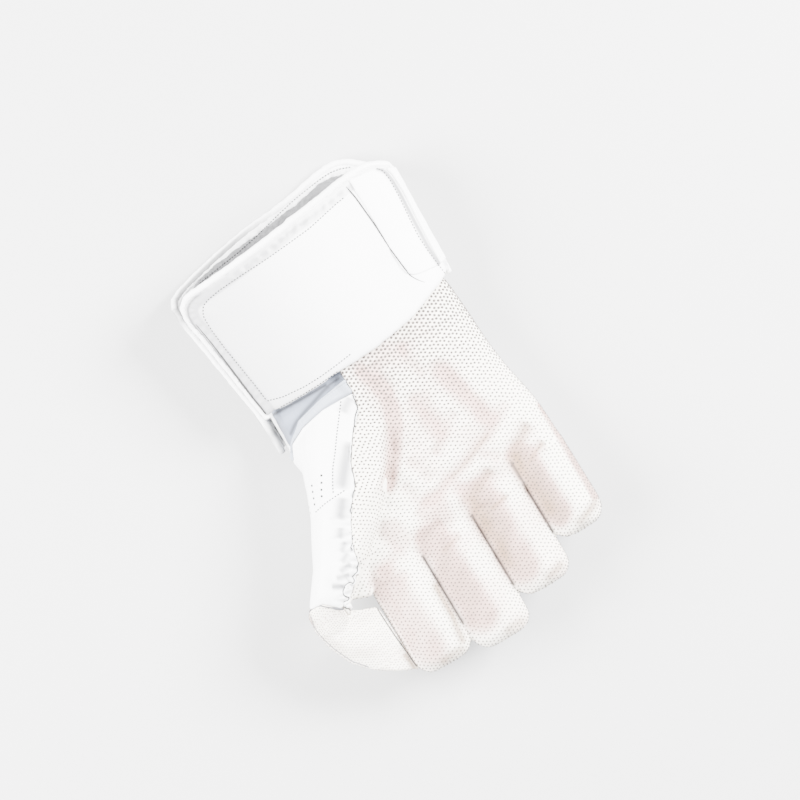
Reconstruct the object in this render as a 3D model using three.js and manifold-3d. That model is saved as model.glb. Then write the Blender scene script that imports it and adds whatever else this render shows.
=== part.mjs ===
// A right-hand wicketkeeping glove lying on its back, palm up: fingers towards -Y, thumb towards -X.
// Units are millimetres, +Z is up. The hand is one hollow form, cut along its seams into the pieces it is
// sewn from.
import * as THREE from "three";
import { mergeVertices } from "three/addons/utils/BufferGeometryUtils.js";
import Module from "manifold-3d";

// Driving dimensions of the hand
const palmWidth = 170; // across the four fingers
const handReach = 220; // wrist line to the middle fingertip
const handDepth = 50; // back of the hand to the palm
const handWall = 3.6; // leather or rubber with its padding
const palmPadding = 2.4; // extra thickness on the palm side, which the creases press into
const fingerDepth = 44; // finger stall at its base
const fingertipDepth = 31;
const fingerCurl = 17; // how far the fingertips rise towards the palm side
const fingertipRadius = 14; // corner of a fingertip, seen from the palm
const fingertipPad = 7; // padding inside the end of a stall
const fingerGap = 1.2; // slit between two neighbouring stalls
const thumbWidth = 62;
const thumbDepth = 48;
const webThickness = 2.6;
const webCrown = 5; // how far the web swells towards the palm side
const webHeightAtThumb = 51;
const webHeightAtIndex = 38;
const webDrop = 7; // of its free edge at the thumb

// Driving dimensions of the cuff
const cuffReach = 130; // wrist line to the highest point of the back panel
const panelThickness = 4; // leather over foam
const cuffFlareThumbSide = 19; // growth of the cuff from the wrist to its top
const cuffFlareLittleSide = 4;
const cuffFlareDepth = 8;
const cuffBackLift = 1.5; // the back panel rises this much from the wrist to its top
const cornerRadius = 16; // upper corners of the cuff panels on the thumb side
const littleCornerRadius = 9; // and on the little-finger side
const bindingRadius = 2.4; // rolled leather on the cuff's edges
const bindingTail = 2; // how far the binding runs on past a panel's lower corner
const overlayThickness = 1.6;
const liningThickness = 1.5;
const hemWidth = 12; // leather hem between the binding and the lining
const gussetThickness = 1.5;
const gussetTuck = 4; // how far the gusset runs under the pieces round it
const seamGap = 0.3; // clearance between pieces that are sewn together
const layerGap = 0.45; // clearance under a layer that lies on a curved panel
const wristClearance = 0.8; // between the hand's wrist end and the cuff round it
const ovalPower = 2.8; // roundness of every cross-section, 2 is an ellipse

const halfPalm = palmWidth / 2;
const wristLift = panelThickness + wristClearance; // the cuff's panels lie this far out from the wrist
const bindingFit = bindingRadius + seamGap; // from the middle of the binding to the panel's edge
const beyond = 6; // how far a cutting form reaches past what it cuts
const farOut = handReach + cuffReach; // past the whole glove, from anywhere in it
const mergeDistance = 1e-4;

// How finely the faceted forms are drawn
const ringPoints = {
  palmFront: 22,
  palmBack: 10,
  palmInside: 8,
  fingerFront: 9,
  fingerBack: 6,
  fingerInside: 5,
  thumb: 9,
};
const palmSteps = { outer: 16, inner: 6 };
const tipSteps = 3;
const seamSteps = 8;
const cornerSteps = 3;
const columnSpacing = 11; // between the columns of a cuff panel
const leastSpacing = 0.4;
const wayStops = 90; // on the way round the cuff
const webRows = 3;
const cuffRows = [0, 0.5, 1];
const bindingSideSteps = 4;
const tubeSides = 6;
const tubeStepLength = 3.5; // in radii of the tube

// Cross-sections of the palm from the wrist to the knuckles. reach is a share of handReach, left and right of
// half the palm's width, lift of wristLift (below 0 is pressed flat by the surface), front of handDepth.
const palmSections = [
  { reach: -0.136, left: -0.965, right: 0.82, lift: 1.0, front: 0.96 },
  { reach: -0.068, left: -0.985, right: 0.845, lift: 1.0, front: 0.97 },
  { reach: 0, left: -1.01, right: 0.86, lift: 1.0, front: 0.98 },
  { reach: 0.165, left: -1.01, right: 0.88, lift: 1.0, front: 0.955 },
  { reach: 0.225, left: -0.98, right: 0.9, lift: -0.3, front: 0.94 },
  { reach: 0.27, left: -0.965, right: 0.918, lift: -0.3, front: 0.93 },
  { reach: 0.386, left: -0.97, right: 0.98, lift: -0.3, front: 0.91 },
  { reach: 0.514, left: -1.0, right: 1.0, lift: -0.3, front: 0.9 },
  { reach: 0.6, left: -1.0, right: 0.97, lift: 0.5, front: 0.86 },
  { reach: 0.635, left: -0.98, right: 0.9, lift: 1.4, front: 0.8 },
  { reach: 0.65, left: -0.96, right: 0.86, lift: 2.6, front: 0.66 },
];
const palmHollowReach = 0.47; // past here each finger has a hollow of its own

// left and right are shares of half the palm's width, tip of handReach.
const fingers = [
  { name: "index", left: -1.0, right: -0.482, tip: 0.973 },
  { name: "middle", left: -0.494, right: 0.036, tip: 1.0 },
  { name: "ring", left: 0.024, right: 0.536, tip: 0.922 },
  { name: "little", left: 0.524, right: 1.0, tip: 0.826 },
];
const fingerRoot = 0.38; // where the stalls start inside the palm, as a share of handReach
const fingerSteps = 5; // sections between the root and the rounded tip
const rootTaper = { along: 0.32, size: 0.7 }; // a stall grows to its full size over this share of its length
const curlPower = 1.8;
const tipNarrowing = 0.85; // how far the fingertip rounds off towards its sides, 1 is a full round

const knuckleSeam = 0.49; // seam across the back where the finger backs start, as a share of handReach

// Slits between neighbouring fingers: across is a share of half the palm's width, crotch of handReach.
const slits = [
  { across: -0.488, crotch: 0.639 },
  { across: 0.03, crotch: 0.607 },
  { across: 0.53, crotch: 0.527 },
];

// Creases and dents of the rubber facing, each along a line on the palm side. across is a share of half the
// palm's width, reach of handReach, width of palmWidth and depth of handDepth.
const dents = [
  { fromAcross: -0.09, fromReach: 0.09, toAcross: -0.09, toReach: 0.18, width: 0.04, depth: 0.07 },
  { fromAcross: -0.09, fromReach: 0.18, toAcross: -0.26, toReach: 0.31, width: 0.04, depth: 0.08 },
  { fromAcross: -0.26, fromReach: 0.31, toAcross: -0.48, toReach: 0.42, width: 0.045, depth: 0.07 },
  { fromAcross: 0.01, fromReach: 0.05, toAcross: 0.02, toReach: 0.17, width: 0.04, depth: 0.05 },
  { fromAcross: 0.29, fromReach: 0.02, toAcross: 0.3, toReach: 0.12, width: 0.04, depth: 0.05 },
  { fromAcross: -0.35, fromReach: 0.51, toAcross: 0.03, toReach: 0.47, width: 0.045, depth: 0.05 },
  { fromAcross: 0.03, fromReach: 0.47, toAcross: 0.79, toReach: 0.35, width: 0.045, depth: 0.06 },
  { fromAcross: -0.8, fromReach: 0.665, toAcross: -0.6, toReach: 0.655, width: 0.07, depth: 0.09 },
  { fromAcross: -0.42, fromReach: 0.645, toAcross: -0.12, toReach: 0.63, width: 0.07, depth: 0.11 },
  { fromAcross: 0.08, fromReach: 0.61, toAcross: 0.36, toReach: 0.585, width: 0.07, depth: 0.11 },
  { fromAcross: 0.58, fromReach: 0.53, toAcross: 0.82, toReach: 0.5, width: 0.07, depth: 0.1 },
];

// Centres of the thumb's sections from the ball of the thumb to its tip. across is a share of half the palm's
// width, reach of handReach, height of handDepth, width of thumbWidth and depth of thumbDepth.
const thumbSections = [
  { across: -0.42, reach: 0.07, height: 0.5, width: 0.8, depth: 0.78 },
  { across: -0.553, reach: 0.195, height: 0.62, width: 1.08, depth: 0.94 },
  { across: -0.753, reach: 0.341, height: 0.72, width: 0.9, depth: 0.96 },
  { across: -0.894, reach: 0.418, height: 0.76, width: 0.76, depth: 0.9 },
  { across: -1.035, reach: 0.486, height: 0.8, width: 0.66, depth: 0.82 },
  { across: -1.176, reach: 0.55, height: 0.84, width: 0.53, depth: 0.74 },
  { across: -1.318, reach: 0.605, height: 0.87, width: 0.45, depth: 0.66 },
  { across: -1.4, reach: 0.65, height: 0.86, width: 0.46, depth: 0.5 },
  { across: -1.43, reach: 0.7, height: 0.85, width: 0.34, depth: 0.36 },
  { across: -1.44, reach: 0.724, height: 0.85, width: 0.14, depth: 0.14 },
];

// The solid fold of rubber in the crotch between the thumb and the index finger, in the same shares.
const crotchSections = [
  { across: -0.94, reach: 0.5, height: 0.8, width: 0.25, depth: 0.2 },
  { across: -1.03, reach: 0.585, height: 0.8, width: 0.28, depth: 0.2 },
  { across: -1.1, reach: 0.65, height: 0.8, width: 0.28, depth: 0.18 },
];

// Seams drawn on the palm side, as shares of half the palm's width and of handReach.
const thumbSeam = [
  { across: -0.294, reach: -0.2 },
  { across: -0.294, reach: 0.088 },
  { across: -0.318, reach: 0.13 },
  { across: -0.466, reach: 0.193 },
  { across: -0.606, reach: 0.273 },
  { across: -0.664, reach: 0.336 },
  { across: -0.771, reach: 0.384 },
  { across: -0.853, reach: 0.432 },
  { across: -0.935, reach: 0.495 },
  { across: -0.976, reach: 0.559 },
  { across: -1.059, reach: 0.591 },
  { across: -1.141, reach: 0.623 },
  { across: -1.224, reach: 0.645 },
];
const hoodEdge = [
  { across: -1.265, reach: 0.655 },
  { across: -1.322, reach: 0.632 },
  { across: -1.388, reach: 0.607 },
  { across: -1.512, reach: 0.6 },
  { across: -1.7, reach: 0.63 },
];
// Lower and upper edge of the elastic band that binds the thumb piece at the wrist.
const wristBand = [
  { across: -1.9, lower: 0.2, upper: 0.16 },
  { across: -0.993, lower: 0.168, upper: 0.145 },
  { across: -0.935, lower: 0.123, upper: 0.105 },
  { across: -0.79, lower: 0.095, upper: 0.055 },
  { across: -0.565, lower: 0.079, upper: 0.034 },
  { across: -0.294, lower: 0.082, upper: 0.018 },
];
// Seam between the thumb piece and the back of the hand, on the back.
const thumbBackSeam = [
  { across: -0.93, reach: 0.17 },
  { across: -0.78, reach: 0.28 },
  { across: -0.76, reach: 0.4 },
  { across: -0.9, reach: 0.5 },
  { across: -1.03, reach: 0.58 },
  { across: -1.1, reach: 0.7 },
];

// The web from the thumb (first row) to the index finger (last row): its upper and its free lower edge.
const webColumns = [
  { topAcross: -1.53, topReach: 0.633, lowAcross: -1.565, lowReach: 0.665 },
  { topAcross: -1.458, topReach: 0.618, lowAcross: -1.53, lowReach: 0.738 },
  { topAcross: -1.359, topReach: 0.625, lowAcross: -1.441, lowReach: 0.815 },
  { topAcross: -1.26, topReach: 0.662, lowAcross: -1.309, lowReach: 0.869 },
  { topAcross: -1.161, topReach: 0.681, lowAcross: -1.161, lowReach: 0.907 },
  { topAcross: -1.03, topReach: 0.7, lowAcross: -1.0, lowReach: 0.939 },
];

// Edges of the cuff's pieces, as shares of cuffReach, at angles round the cuff's cross-section. Angle 0 is
// the little-finger side, 90 the palm side, 180 the thumb side and 270 the back.
const frontPanelEdges = [
  { angle: 0, low: 0.17, high: 0.87 },
  { angle: 14, low: 0.165, high: 0.89 },
  { angle: 30, low: 0.135, high: 0.893 },
  { angle: 45, low: 0.105, high: 0.89 },
  { angle: 65, low: 0.045, high: 0.855 },
  { angle: 90, low: 0.0, high: 0.815 },
  { angle: 115, low: -0.02, high: 0.8 },
  { angle: 140, low: -0.01, high: 0.79 },
  { angle: 159, low: -0.004, high: 0.785 },
];
const backPanelEdges = [
  { angle: 187, low: -0.2, high: 0.8 },
  { angle: 205, low: -0.19, high: 0.815 },
  { angle: 230, low: -0.12, high: 0.86 },
  { angle: 270, low: -0.02, high: 0.935 },
  { angle: 290, low: 0.037, high: 0.985 },
  { angle: 300, low: 0.066, high: 1.0 },
  { angle: 308, low: 0.088, high: 0.98 },
  { angle: 316, low: 0.108, high: 0.945 },
  { angle: 326, low: 0.13, high: 0.9 },
  { angle: 345, low: 0.165, high: 0.87 },
  { angle: 360, low: 0.17, high: 0.87 },
];
const overlayEdges = [
  { angle: 8, low: 0.23, high: 0.86 },
  { angle: 25, low: 0.21, high: 0.86 },
  { angle: 40, low: 0.215, high: 0.86 },
  { angle: 57, low: 0.23, high: 0.85 },
];

const finishes = {
  leather: { color: 0xf4f4f2, roughness: 0.55, metalness: 0 },
  facing: { color: 0xece2d6, roughness: 0.8, metalness: 0 },
  binding: { color: 0xf7f7f6, roughness: 0.5, metalness: 0 },
  towelling: { color: 0xc4c5c9, roughness: 0.95, metalness: 0 },
  gusset: { color: 0xb9c2d2, roughness: 0.9, metalness: 0 },
  band: { color: 0xd5dae6, roughness: 0.85, metalness: 0 },
};

const wasm = await Module();
wasm.setup();

// Solids

function solidOf(geometry) {
  const bare = geometry.clone();
  bare.deleteAttribute("normal");
  bare.deleteAttribute("uv");
  const merged = mergeVertices(bare, mergeDistance);
  return new wasm.Manifold(
    new wasm.Mesh({
      numProp: 3,
      vertProperties: merged.getAttribute("position").array,
      triVerts: new Uint32Array(merged.index.array),
    }),
  );
}

function geometryOf(solid) {
  const mesh = solid.getMesh();
  const geometry = new THREE.BufferGeometry();
  geometry.setAttribute("position", new THREE.BufferAttribute(mesh.vertProperties, 3));
  geometry.setIndex(new THREE.BufferAttribute(mesh.triVerts, 1));
  geometry.computeVertexNormals();
  return geometry;
}

// A solid from corner points and triangles, turned the right way out.
function solidOfFaces(points, faces) {
  const geometry = new THREE.BufferGeometry().setFromPoints(points);
  geometry.setIndex(faces);
  const solid = solidOf(geometry);
  if (solid.volume() > 0) return solid;
  geometry.setIndex(faces.reverse());
  return solidOf(geometry);
}

// The main body of a solid, without the slivers that a cut along a curved edge leaves beyond it.
function largest(solid) {
  return solid.decompose().reduce((a, b) => (b.volume() > a.volume() ? b : a));
}

// A closed skin over a row of rings with equally many points, with a fan over each end.
function loft(rings) {
  const around = rings[0].length;
  const faces = [];
  for (let r = 0; r + 1 < rings.length; r++) {
    for (let i = 0; i < around; i++) {
      const a = r * around + i;
      const b = r * around + ((i + 1) % around);
      faces.push(a, b, a + around, b, b + around, a + around);
    }
  }
  const last = (rings.length - 1) * around;
  for (let i = 1; i + 1 < around; i++) {
    faces.push(0, i + 1, i);
    faces.push(last, last + i, last + i + 1);
  }
  return solidOfFaces(rings.flat(), faces);
}

// A closed sheet between two equally large grids of points.
function sheet(outer, inner) {
  const rows = outer.length;
  const columns = outer[0].length;
  const faces = [];
  const at = (side, r, c) => (side * rows + r) * columns + c;
  const quad = (a, b, c, d) => faces.push(a, b, c, a, c, d);
  for (let r = 0; r + 1 < rows; r++) {
    for (let c = 0; c + 1 < columns; c++) {
      quad(at(0, r, c), at(0, r, c + 1), at(0, r + 1, c + 1), at(0, r + 1, c));
      quad(at(1, r, c), at(1, r + 1, c), at(1, r + 1, c + 1), at(1, r, c + 1));
    }
    quad(at(0, r, 0), at(0, r + 1, 0), at(1, r + 1, 0), at(1, r, 0));
    quad(at(0, r, columns - 1), at(1, r, columns - 1), at(1, r + 1, columns - 1), at(0, r + 1, columns - 1));
  }
  for (let c = 0; c + 1 < columns; c++) {
    quad(at(0, 0, c), at(1, 0, c), at(1, 0, c + 1), at(0, 0, c + 1));
    quad(at(0, rows - 1, c), at(0, rows - 1, c + 1), at(1, rows - 1, c + 1), at(1, rows - 1, c));
  }
  return solidOfFaces([...outer.flat(), ...inner.flat()], faces);
}

// A solid that stands over a plan outline and reaches past the glove above and below.
function prism(outline) {
  const upright = { depth: 2 * farOut, bevelEnabled: false };
  const geometry = new THREE.ExtrudeGeometry(new THREE.Shape(outline), upright);
  geometry.translate(0, 0, -farOut);
  return solidOf(geometry);
}

// A tube along a line, in steps that suit the binding, so that tubes of two radii on one line stay parallel.
function tube(points, radius) {
  const section = new THREE.Shape();
  for (let i = 0; i < tubeSides; i++) {
    const turn = (2 * Math.PI * i) / tubeSides;
    const corner = [radius * Math.cos(turn), radius * Math.sin(turn)];
    if (i === 0) section.moveTo(...corner);
    else section.lineTo(...corner);
  }
  section.closePath();
  const path = new THREE.CatmullRomCurve3(points, false, "centripetal");
  const steps = Math.round(path.getLength() / (tubeStepLength * bindingRadius));
  return solidOf(new THREE.ExtrudeGeometry(section, { steps, extrudePath: path, bevelEnabled: false }));
}

// Tables

function mix(a, b, share) {
  return a + (b - a) * share;
}

// The row of a table at a value of one column, with the other columns worked out between its neighbours.
function rowAt(table, column, value) {
  const inside = THREE.MathUtils.clamp(value, table[0][column], table[table.length - 1][column]);
  let i = 0;
  while (i + 2 < table.length && table[i + 1][column] < inside) i++;
  const share = (inside - table[i][column]) / (table[i + 1][column] - table[i][column]);
  const row = {};
  for (const key of Object.keys(table[i])) row[key] = mix(table[i][key], table[i + 1][key], share);
  return row;
}

function planPoint(share) {
  return new THREE.Vector2(share.across * halfPalm, -share.reach * handReach);
}

// How deep the creases press the palm side in at a place.
function dentDepth(x, y) {
  let depth = 0;
  for (const dent of dents) {
    const from = planPoint({ across: dent.fromAcross, reach: dent.fromReach });
    const to = planPoint({ across: dent.toAcross, reach: dent.toReach });
    const run = to.clone().sub(from);
    const place = new THREE.Vector2(x, y).sub(from);
    const share = THREE.MathUtils.clamp(place.dot(run) / run.lengthSq(), 0, 1);
    const distance = place.sub(run.multiplyScalar(share)).length();
    const fade = Math.exp(-((distance / (dent.width * palmWidth)) ** 2));
    depth = Math.max(depth, dent.depth * handDepth * fade);
  }
  return depth;
}

// Cross-sections

function ovalPoint(section, turn) {
  const c = Math.cos(turn);
  const s = Math.sin(turn);
  const across = section.halfWidth * Math.sign(c) * Math.abs(c) ** (2 / ovalPower);
  const up = section.halfDepth * Math.sign(s) * Math.abs(s) ** (2 / ovalPower);
  return { across, up };
}

function grown(section, by) {
  return { ...section, halfWidth: section.halfWidth + by, halfDepth: section.halfDepth + by };
}

// The section of a hollow inside a wall, with the padding of the palm side.
function hollowed(section, inset) {
  if (inset <= 0) return grown(section, -inset);
  const half = palmPadding / 2;
  const padded = { ...section, z: section.z - half, halfDepth: section.halfDepth - half };
  return grown(padded, -inset);
}

// Angles round a ring, with front of them on the palm side and back on the other.
function ringTurns(front, back = front) {
  const turns = [];
  for (let i = 0; i < front; i++) turns.push((Math.PI * i) / front);
  for (let i = 0; i < back; i++) turns.push(Math.PI + (Math.PI * i) / back);
  return turns;
}

// A ring that stands across the Y axis, with the palm side's creases where it is dented.
function uprightRing(section, turns, dented) {
  return turns.map((turn) => {
    const p = ovalPoint(section, turn);
    const x = section.x + p.across;
    const press = dented ? dentDepth(x, section.y) * Math.max(0, p.up / section.halfDepth) : 0;
    return new THREE.Vector3(x, section.y, section.z + p.up - press);
  });
}

function palmSection(reach) {
  const row = rowAt(palmSections, "reach", reach);
  const back = row.lift * wristLift;
  const front = row.front * handDepth;
  return {
    x: (halfPalm * (row.left + row.right)) / 2,
    y: -reach * handReach,
    z: (back + front) / 2,
    halfWidth: (halfPalm * (row.right - row.left)) / 2,
    halfDepth: (front - back) / 2,
  };
}

// The hand's outer form has an inset of 0, its hollow the inset of the wall.

function palmForm(inset) {
  const sections = [];
  const first = palmSections[0].reach;
  const last = inset > 0 ? palmHollowReach : palmSections[palmSections.length - 1].reach;
  const steps = inset > 0 ? palmSteps.inner : palmSteps.outer;
  for (let i = 0; i <= steps; i++) sections.push(hollowed(palmSection(mix(first, last, i / steps)), inset));
  if (inset > 0) sections[0].y += beyond;
  const outerTurns = ringTurns(ringPoints.palmFront, ringPoints.palmBack);
  const turns = inset > 0 ? ringTurns(ringPoints.palmInside) : outerTurns;
  return loft(sections.map((section) => uprightRing(section, turns, inset <= 0)));
}

function fingerSection(finger, along) {
  const rise = Math.min(1, along / rootTaper.along);
  const swell = mix(rootTaper.size, 1, rise);
  return {
    x: (halfPalm * (finger.left + finger.right)) / 2,
    y: -mix(fingerRoot, finger.tip, along) * handReach,
    z: fingerDepth / 2 + fingerCurl * along ** curlPower,
    halfWidth: (swell * halfPalm * (finger.right - finger.left)) / 2,
    halfDepth: (swell * mix(fingerDepth, fingertipDepth, along)) / 2,
  };
}

function fingerForm(finger, inset) {
  const length = (finger.tip - fingerRoot) * handReach;
  const pad = inset > 0 ? fingertipPad : inset;
  const radius = fingertipRadius - inset;
  const roundShare = (pad + radius) / length;
  const sections = [];
  for (let i = 0; i < fingerSteps; i++) {
    sections.push(hollowed(fingerSection(finger, (1 - roundShare) * (i / fingerSteps)), inset));
  }
  for (let i = 0; i <= tipSteps; i++) {
    const turn = (Math.PI / 2) * (i / tipSteps);
    const along = 1 - (pad + radius * (1 - Math.sin(turn))) / length;
    const narrowing = radius * (1 - Math.cos(turn)) * tipNarrowing;
    sections.push(grown(hollowed(fingerSection(finger, along), inset), -narrowing));
  }
  const outerTurns = ringTurns(ringPoints.fingerFront, ringPoints.fingerBack);
  const turns = inset > 0 ? ringTurns(ringPoints.fingerInside) : outerTurns;
  return loft(sections.map((section) => uprightRing(section, turns, inset <= 0)));
}

// A form along the centres of a table's sections, each square to the way that the table runs.
function limbForm(rows, inset) {
  const turns = ringTurns(ringPoints.thumb);
  const rings = rows.map((row, i) => {
    const before = planPoint(rows[Math.max(0, i - 1)]);
    const along = planPoint(rows[Math.min(rows.length - 1, i + 1)]).sub(before).normalize();
    const centre = planPoint(row);
    const section = {
      halfWidth: (row.width * thumbWidth) / 2 - inset,
      halfDepth: (row.depth * thumbDepth) / 2 - inset,
    };
    return turns.map((turn) => {
      const p = ovalPoint(section, turn);
      const x = centre.x - along.y * p.across;
      const y = centre.y + along.x * p.across;
      return new THREE.Vector3(x, y, row.height * handDepth + p.up);
    });
  });
  return loft(rings);
}

function handForm(inset) {
  const thumb = thumbSections.filter((row) => (row.width * thumbWidth) / 2 > 2 * inset);
  let form = palmForm(inset).add(limbForm(thumb, inset));
  for (const finger of fingers) form = form.add(fingerForm(finger, inset));
  return inset > 0 ? form : form.add(limbForm(crotchSections, inset));
}

// The narrow gap between two neighbouring stalls, from its crotch past the fingertips.
function slitForm(slit) {
  const x = slit.across * halfPalm;
  const crotch = -slit.crotch * handReach;
  const half = fingerGap / 2;
  const end = -handReach - beyond;
  return prism([
    new THREE.Vector2(x - half, end),
    new THREE.Vector2(x + half, end),
    new THREE.Vector2(x + half, crotch - half),
    new THREE.Vector2(x, crotch),
    new THREE.Vector2(x - half, crotch - half),
  ]);
}

// All that lies above the surface that the glove rests on.
function aboveFloor() {
  const height = handDepth + thumbDepth + fingerCurl;
  const box = new THREE.BoxGeometry(2 * farOut, 2 * farOut, height);
  box.translate(0, 0, height / 2);
  return solidOf(box);
}

// All that lies on the palm side of the side seam, with the seam lowered by a gap.
function palmSide(gap) {
  const low = fingerDepth / 2 - gap;
  const points = [new THREE.Vector2(farOut, farOut), new THREE.Vector2(farOut, low)];
  for (let i = 0; i <= seamSteps; i++) {
    const along = i / seamSteps;
    const y = -mix(fingerRoot, 1, along) * handReach;
    points.push(new THREE.Vector2(y, low + fingerCurl * along ** curlPower));
  }
  points.push(new THREE.Vector2(-farOut, low + fingerCurl));
  points.push(new THREE.Vector2(-farOut, farOut));
  const across = { depth: 2 * farOut, bevelEnabled: false };
  const geometry = new THREE.ExtrudeGeometry(new THREE.Shape(points), across);
  const alongY = new THREE.Vector3(0, 1, 0);
  const alongZ = new THREE.Vector3(0, 0, 1);
  const alongX = new THREE.Vector3(1, 0, 0);
  geometry.applyMatrix4(new THREE.Matrix4().makeBasis(alongY, alongZ, alongX));
  geometry.translate(-farOut, 0, 0);
  return solidOf(geometry);
}

// Plan outlines of the seams. A gap widens the outline by what the neighbouring piece stays clear.

function moved(points, dx, dy) {
  return points.map((p) => new THREE.Vector2(p.x + dx, p.y + dy));
}

function bandEdge(column) {
  return wristBand.map((row) => planPoint({ across: row.across, reach: row[column] }));
}

// All on the thumb's side of a line of seam points that runs from the wrist towards the fingers.
function thumbSideOf(line, gap) {
  const points = moved(line.map(planPoint), gap, 0);
  const first = points[0];
  const last = points[points.length - 1];
  return prism([new THREE.Vector2(-farOut, first.y), ...points, new THREE.Vector2(-farOut, last.y)]);
}

// All past a line that runs from the thumb's side to the palm, towards the fingertips.
function beyondLine(points) {
  const first = points[0];
  const last = points[points.length - 1];
  return prism([new THREE.Vector2(first.x, -farOut), ...points, new THREE.Vector2(last.x, -farOut)]);
}

function hoodLine(gap) {
  return moved([...hoodEdge].reverse().map(planPoint), 0, -gap);
}

// The sheet of the web, from its upper edge to its free lower edge.
function webSheet() {
  const rows = Array.from({ length: webRows + 1 }, (_, i) => i / webRows);
  const grid = (offset) =>
    webColumns.map((column, i) => {
      const across = i / (webColumns.length - 1);
      const height = mix(webHeightAtThumb, webHeightAtIndex, across);
      const top = planPoint({ across: column.topAcross, reach: column.topReach });
      const low = planPoint({ across: column.lowAcross, reach: column.lowReach });
      return rows.map((share) => {
        const crown = webCrown * Math.sin(Math.PI * share) * Math.sin(Math.PI * across);
        const drop = webDrop * share * (1 - across);
        const x = mix(top.x, low.x, share);
        const y = mix(top.y, low.y, share);
        return new THREE.Vector3(x, y, height + crown - drop + offset);
      });
    });
  return sheet(grid(webThickness / 2), grid(-webThickness / 2));
}

// The cuff

function cuffSection(y) {
  const hand = palmSection(Math.max(0, -y / handReach));
  const flare = Math.max(0, y / cuffReach);
  const left = hand.x - hand.halfWidth - wristLift - cuffFlareThumbSide * flare;
  const right = hand.x + hand.halfWidth + wristLift + cuffFlareLittleSide * flare;
  const back = hand.z - hand.halfDepth - wristLift + cuffBackLift * flare;
  const front = hand.z + hand.halfDepth + wristLift + cuffFlareDepth * flare;
  return {
    x: (left + right) / 2,
    z: (back + front) / 2,
    halfWidth: (right - left) / 2,
    halfDepth: (front - back) / 2,
  };
}

function cuffPoint(angle, y, inset) {
  const section = grown(cuffSection(y), -inset);
  const p = ovalPoint(section, THREE.MathUtils.degToRad(angle));
  return new THREE.Vector3(section.x + p.across, y, section.z + p.up);
}

// Angles at even steps of the way round the cuff between two angles, at one height.
function wayRound(fromAngle, toAngle, y) {
  const stops = [{ way: 0, angle: fromAngle }];
  for (let i = 1; i <= wayStops; i++) {
    const angle = mix(fromAngle, toAngle, i / wayStops);
    const before = stops[i - 1];
    const run = cuffPoint(angle, y, 0).distanceTo(cuffPoint(before.angle, y, 0));
    stops.push({ way: before.way + run, angle });
  }
  return stops;
}

// How much a corner of a radius takes off an edge, at a distance from the side it rounds into.
function cornerCut(radius, distance) {
  if (distance >= radius) return 0;
  return radius - Math.sqrt(radius ** 2 - (radius - distance) ** 2);
}

// A piece of the cuff as columns, each an angle with its lower and upper end. inset moves the sides and the
// upper edge inwards, away from the middle of the binding. A layer has the columns of the panel under it.
function cuffColumns(edges, inset, corners, carrier = []) {
  const first = edges[0];
  const last = edges[edges.length - 1];
  const stops = wayRound(first.angle, last.angle, first.high * cuffReach);
  const total = stops[stops.length - 1].way;
  const start = inset.start;
  const end = total - inset.end;
  const startRound = Math.max(corners.startHigh, corners.startLow);
  const endRound = Math.max(corners.endHigh, corners.endLow);
  const ways = carrier.map((column) => rowAt(stops, "angle", column.angle).way);
  for (let i = 0; i < cornerSteps; i++) {
    const share = 1 - Math.cos((Math.PI / 2) * (i / cornerSteps));
    ways.push(start + startRound * share, end - endRound * share);
  }
  const middle = carrier.length > 0 ? 1 : Math.round((end - start) / columnSpacing);
  for (let i = 0; i <= middle; i++) ways.push(mix(start + startRound, end - endRound, i / middle));
  const kept = ways.filter((way) => way >= start && way <= end).sort((a, b) => a - b);
  const apart = kept.filter((way, i) => i === 0 || way - kept[i - 1] > leastSpacing);
  return apart.map((way) => {
    const angle = rowAt(stops, "way", way).angle;
    const row = rowAt(edges, "angle", angle);
    const cutHigh = cornerCut(corners.startHigh, way - start) + cornerCut(corners.endHigh, end - way);
    const cutLow = cornerCut(corners.startLow, way - start) + cornerCut(corners.endLow, end - way);
    const low = row.low * cuffReach + inset.low + cutLow;
    const high = row.high * cuffReach - inset.high - cutHigh;
    return { angle, low, high };
  });
}

function cuffSheet(columns, inset, thickness) {
  const grid = (depth) =>
    columns.map((column) =>
      cuffRows.map((share) => cuffPoint(column.angle, mix(column.low, column.high, share), depth)),
    );
  return sheet(grid(inset), grid(inset + thickness));
}

const square = { startHigh: 0, startLow: 0, endHigh: 0, endLow: 0 };
const frontCorners = { ...square, startHigh: littleCornerRadius, endHigh: cornerRadius };
const backCorners = { ...square, startHigh: cornerRadius };
const wholeEdge = { start: 0, end: 0, low: 0, high: 0 };

// The binding's line: up the first side, over the top and, where it is closed, down the last side.
function bindingPath(columns, closed) {
  const first = columns[0];
  const last = columns[columns.length - 1];
  const depth = panelThickness / 2;
  const points = [];
  for (let i = 0; i < bindingSideSteps; i++) {
    const y = mix(first.low - bindingTail, first.high, i / bindingSideSteps);
    points.push(cuffPoint(first.angle, y, depth));
  }
  for (const column of columns) points.push(cuffPoint(column.angle, column.high, depth));
  if (!closed) return points;
  for (let i = 1; i <= bindingSideSteps; i++) {
    const y = mix(last.high, last.low - bindingTail, i / bindingSideSteps);
    points.push(cuffPoint(last.angle, y, depth));
  }
  return points;
}

// A panel of the cuff, cut back to leave room for the rolled binding on its edge.
function panel(columns, cuts) {
  let solid = cuffSheet(columns, 0, panelThickness);
  for (const cut of cuts) solid = solid.subtract(cut);
  return largest(solid);
}

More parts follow.
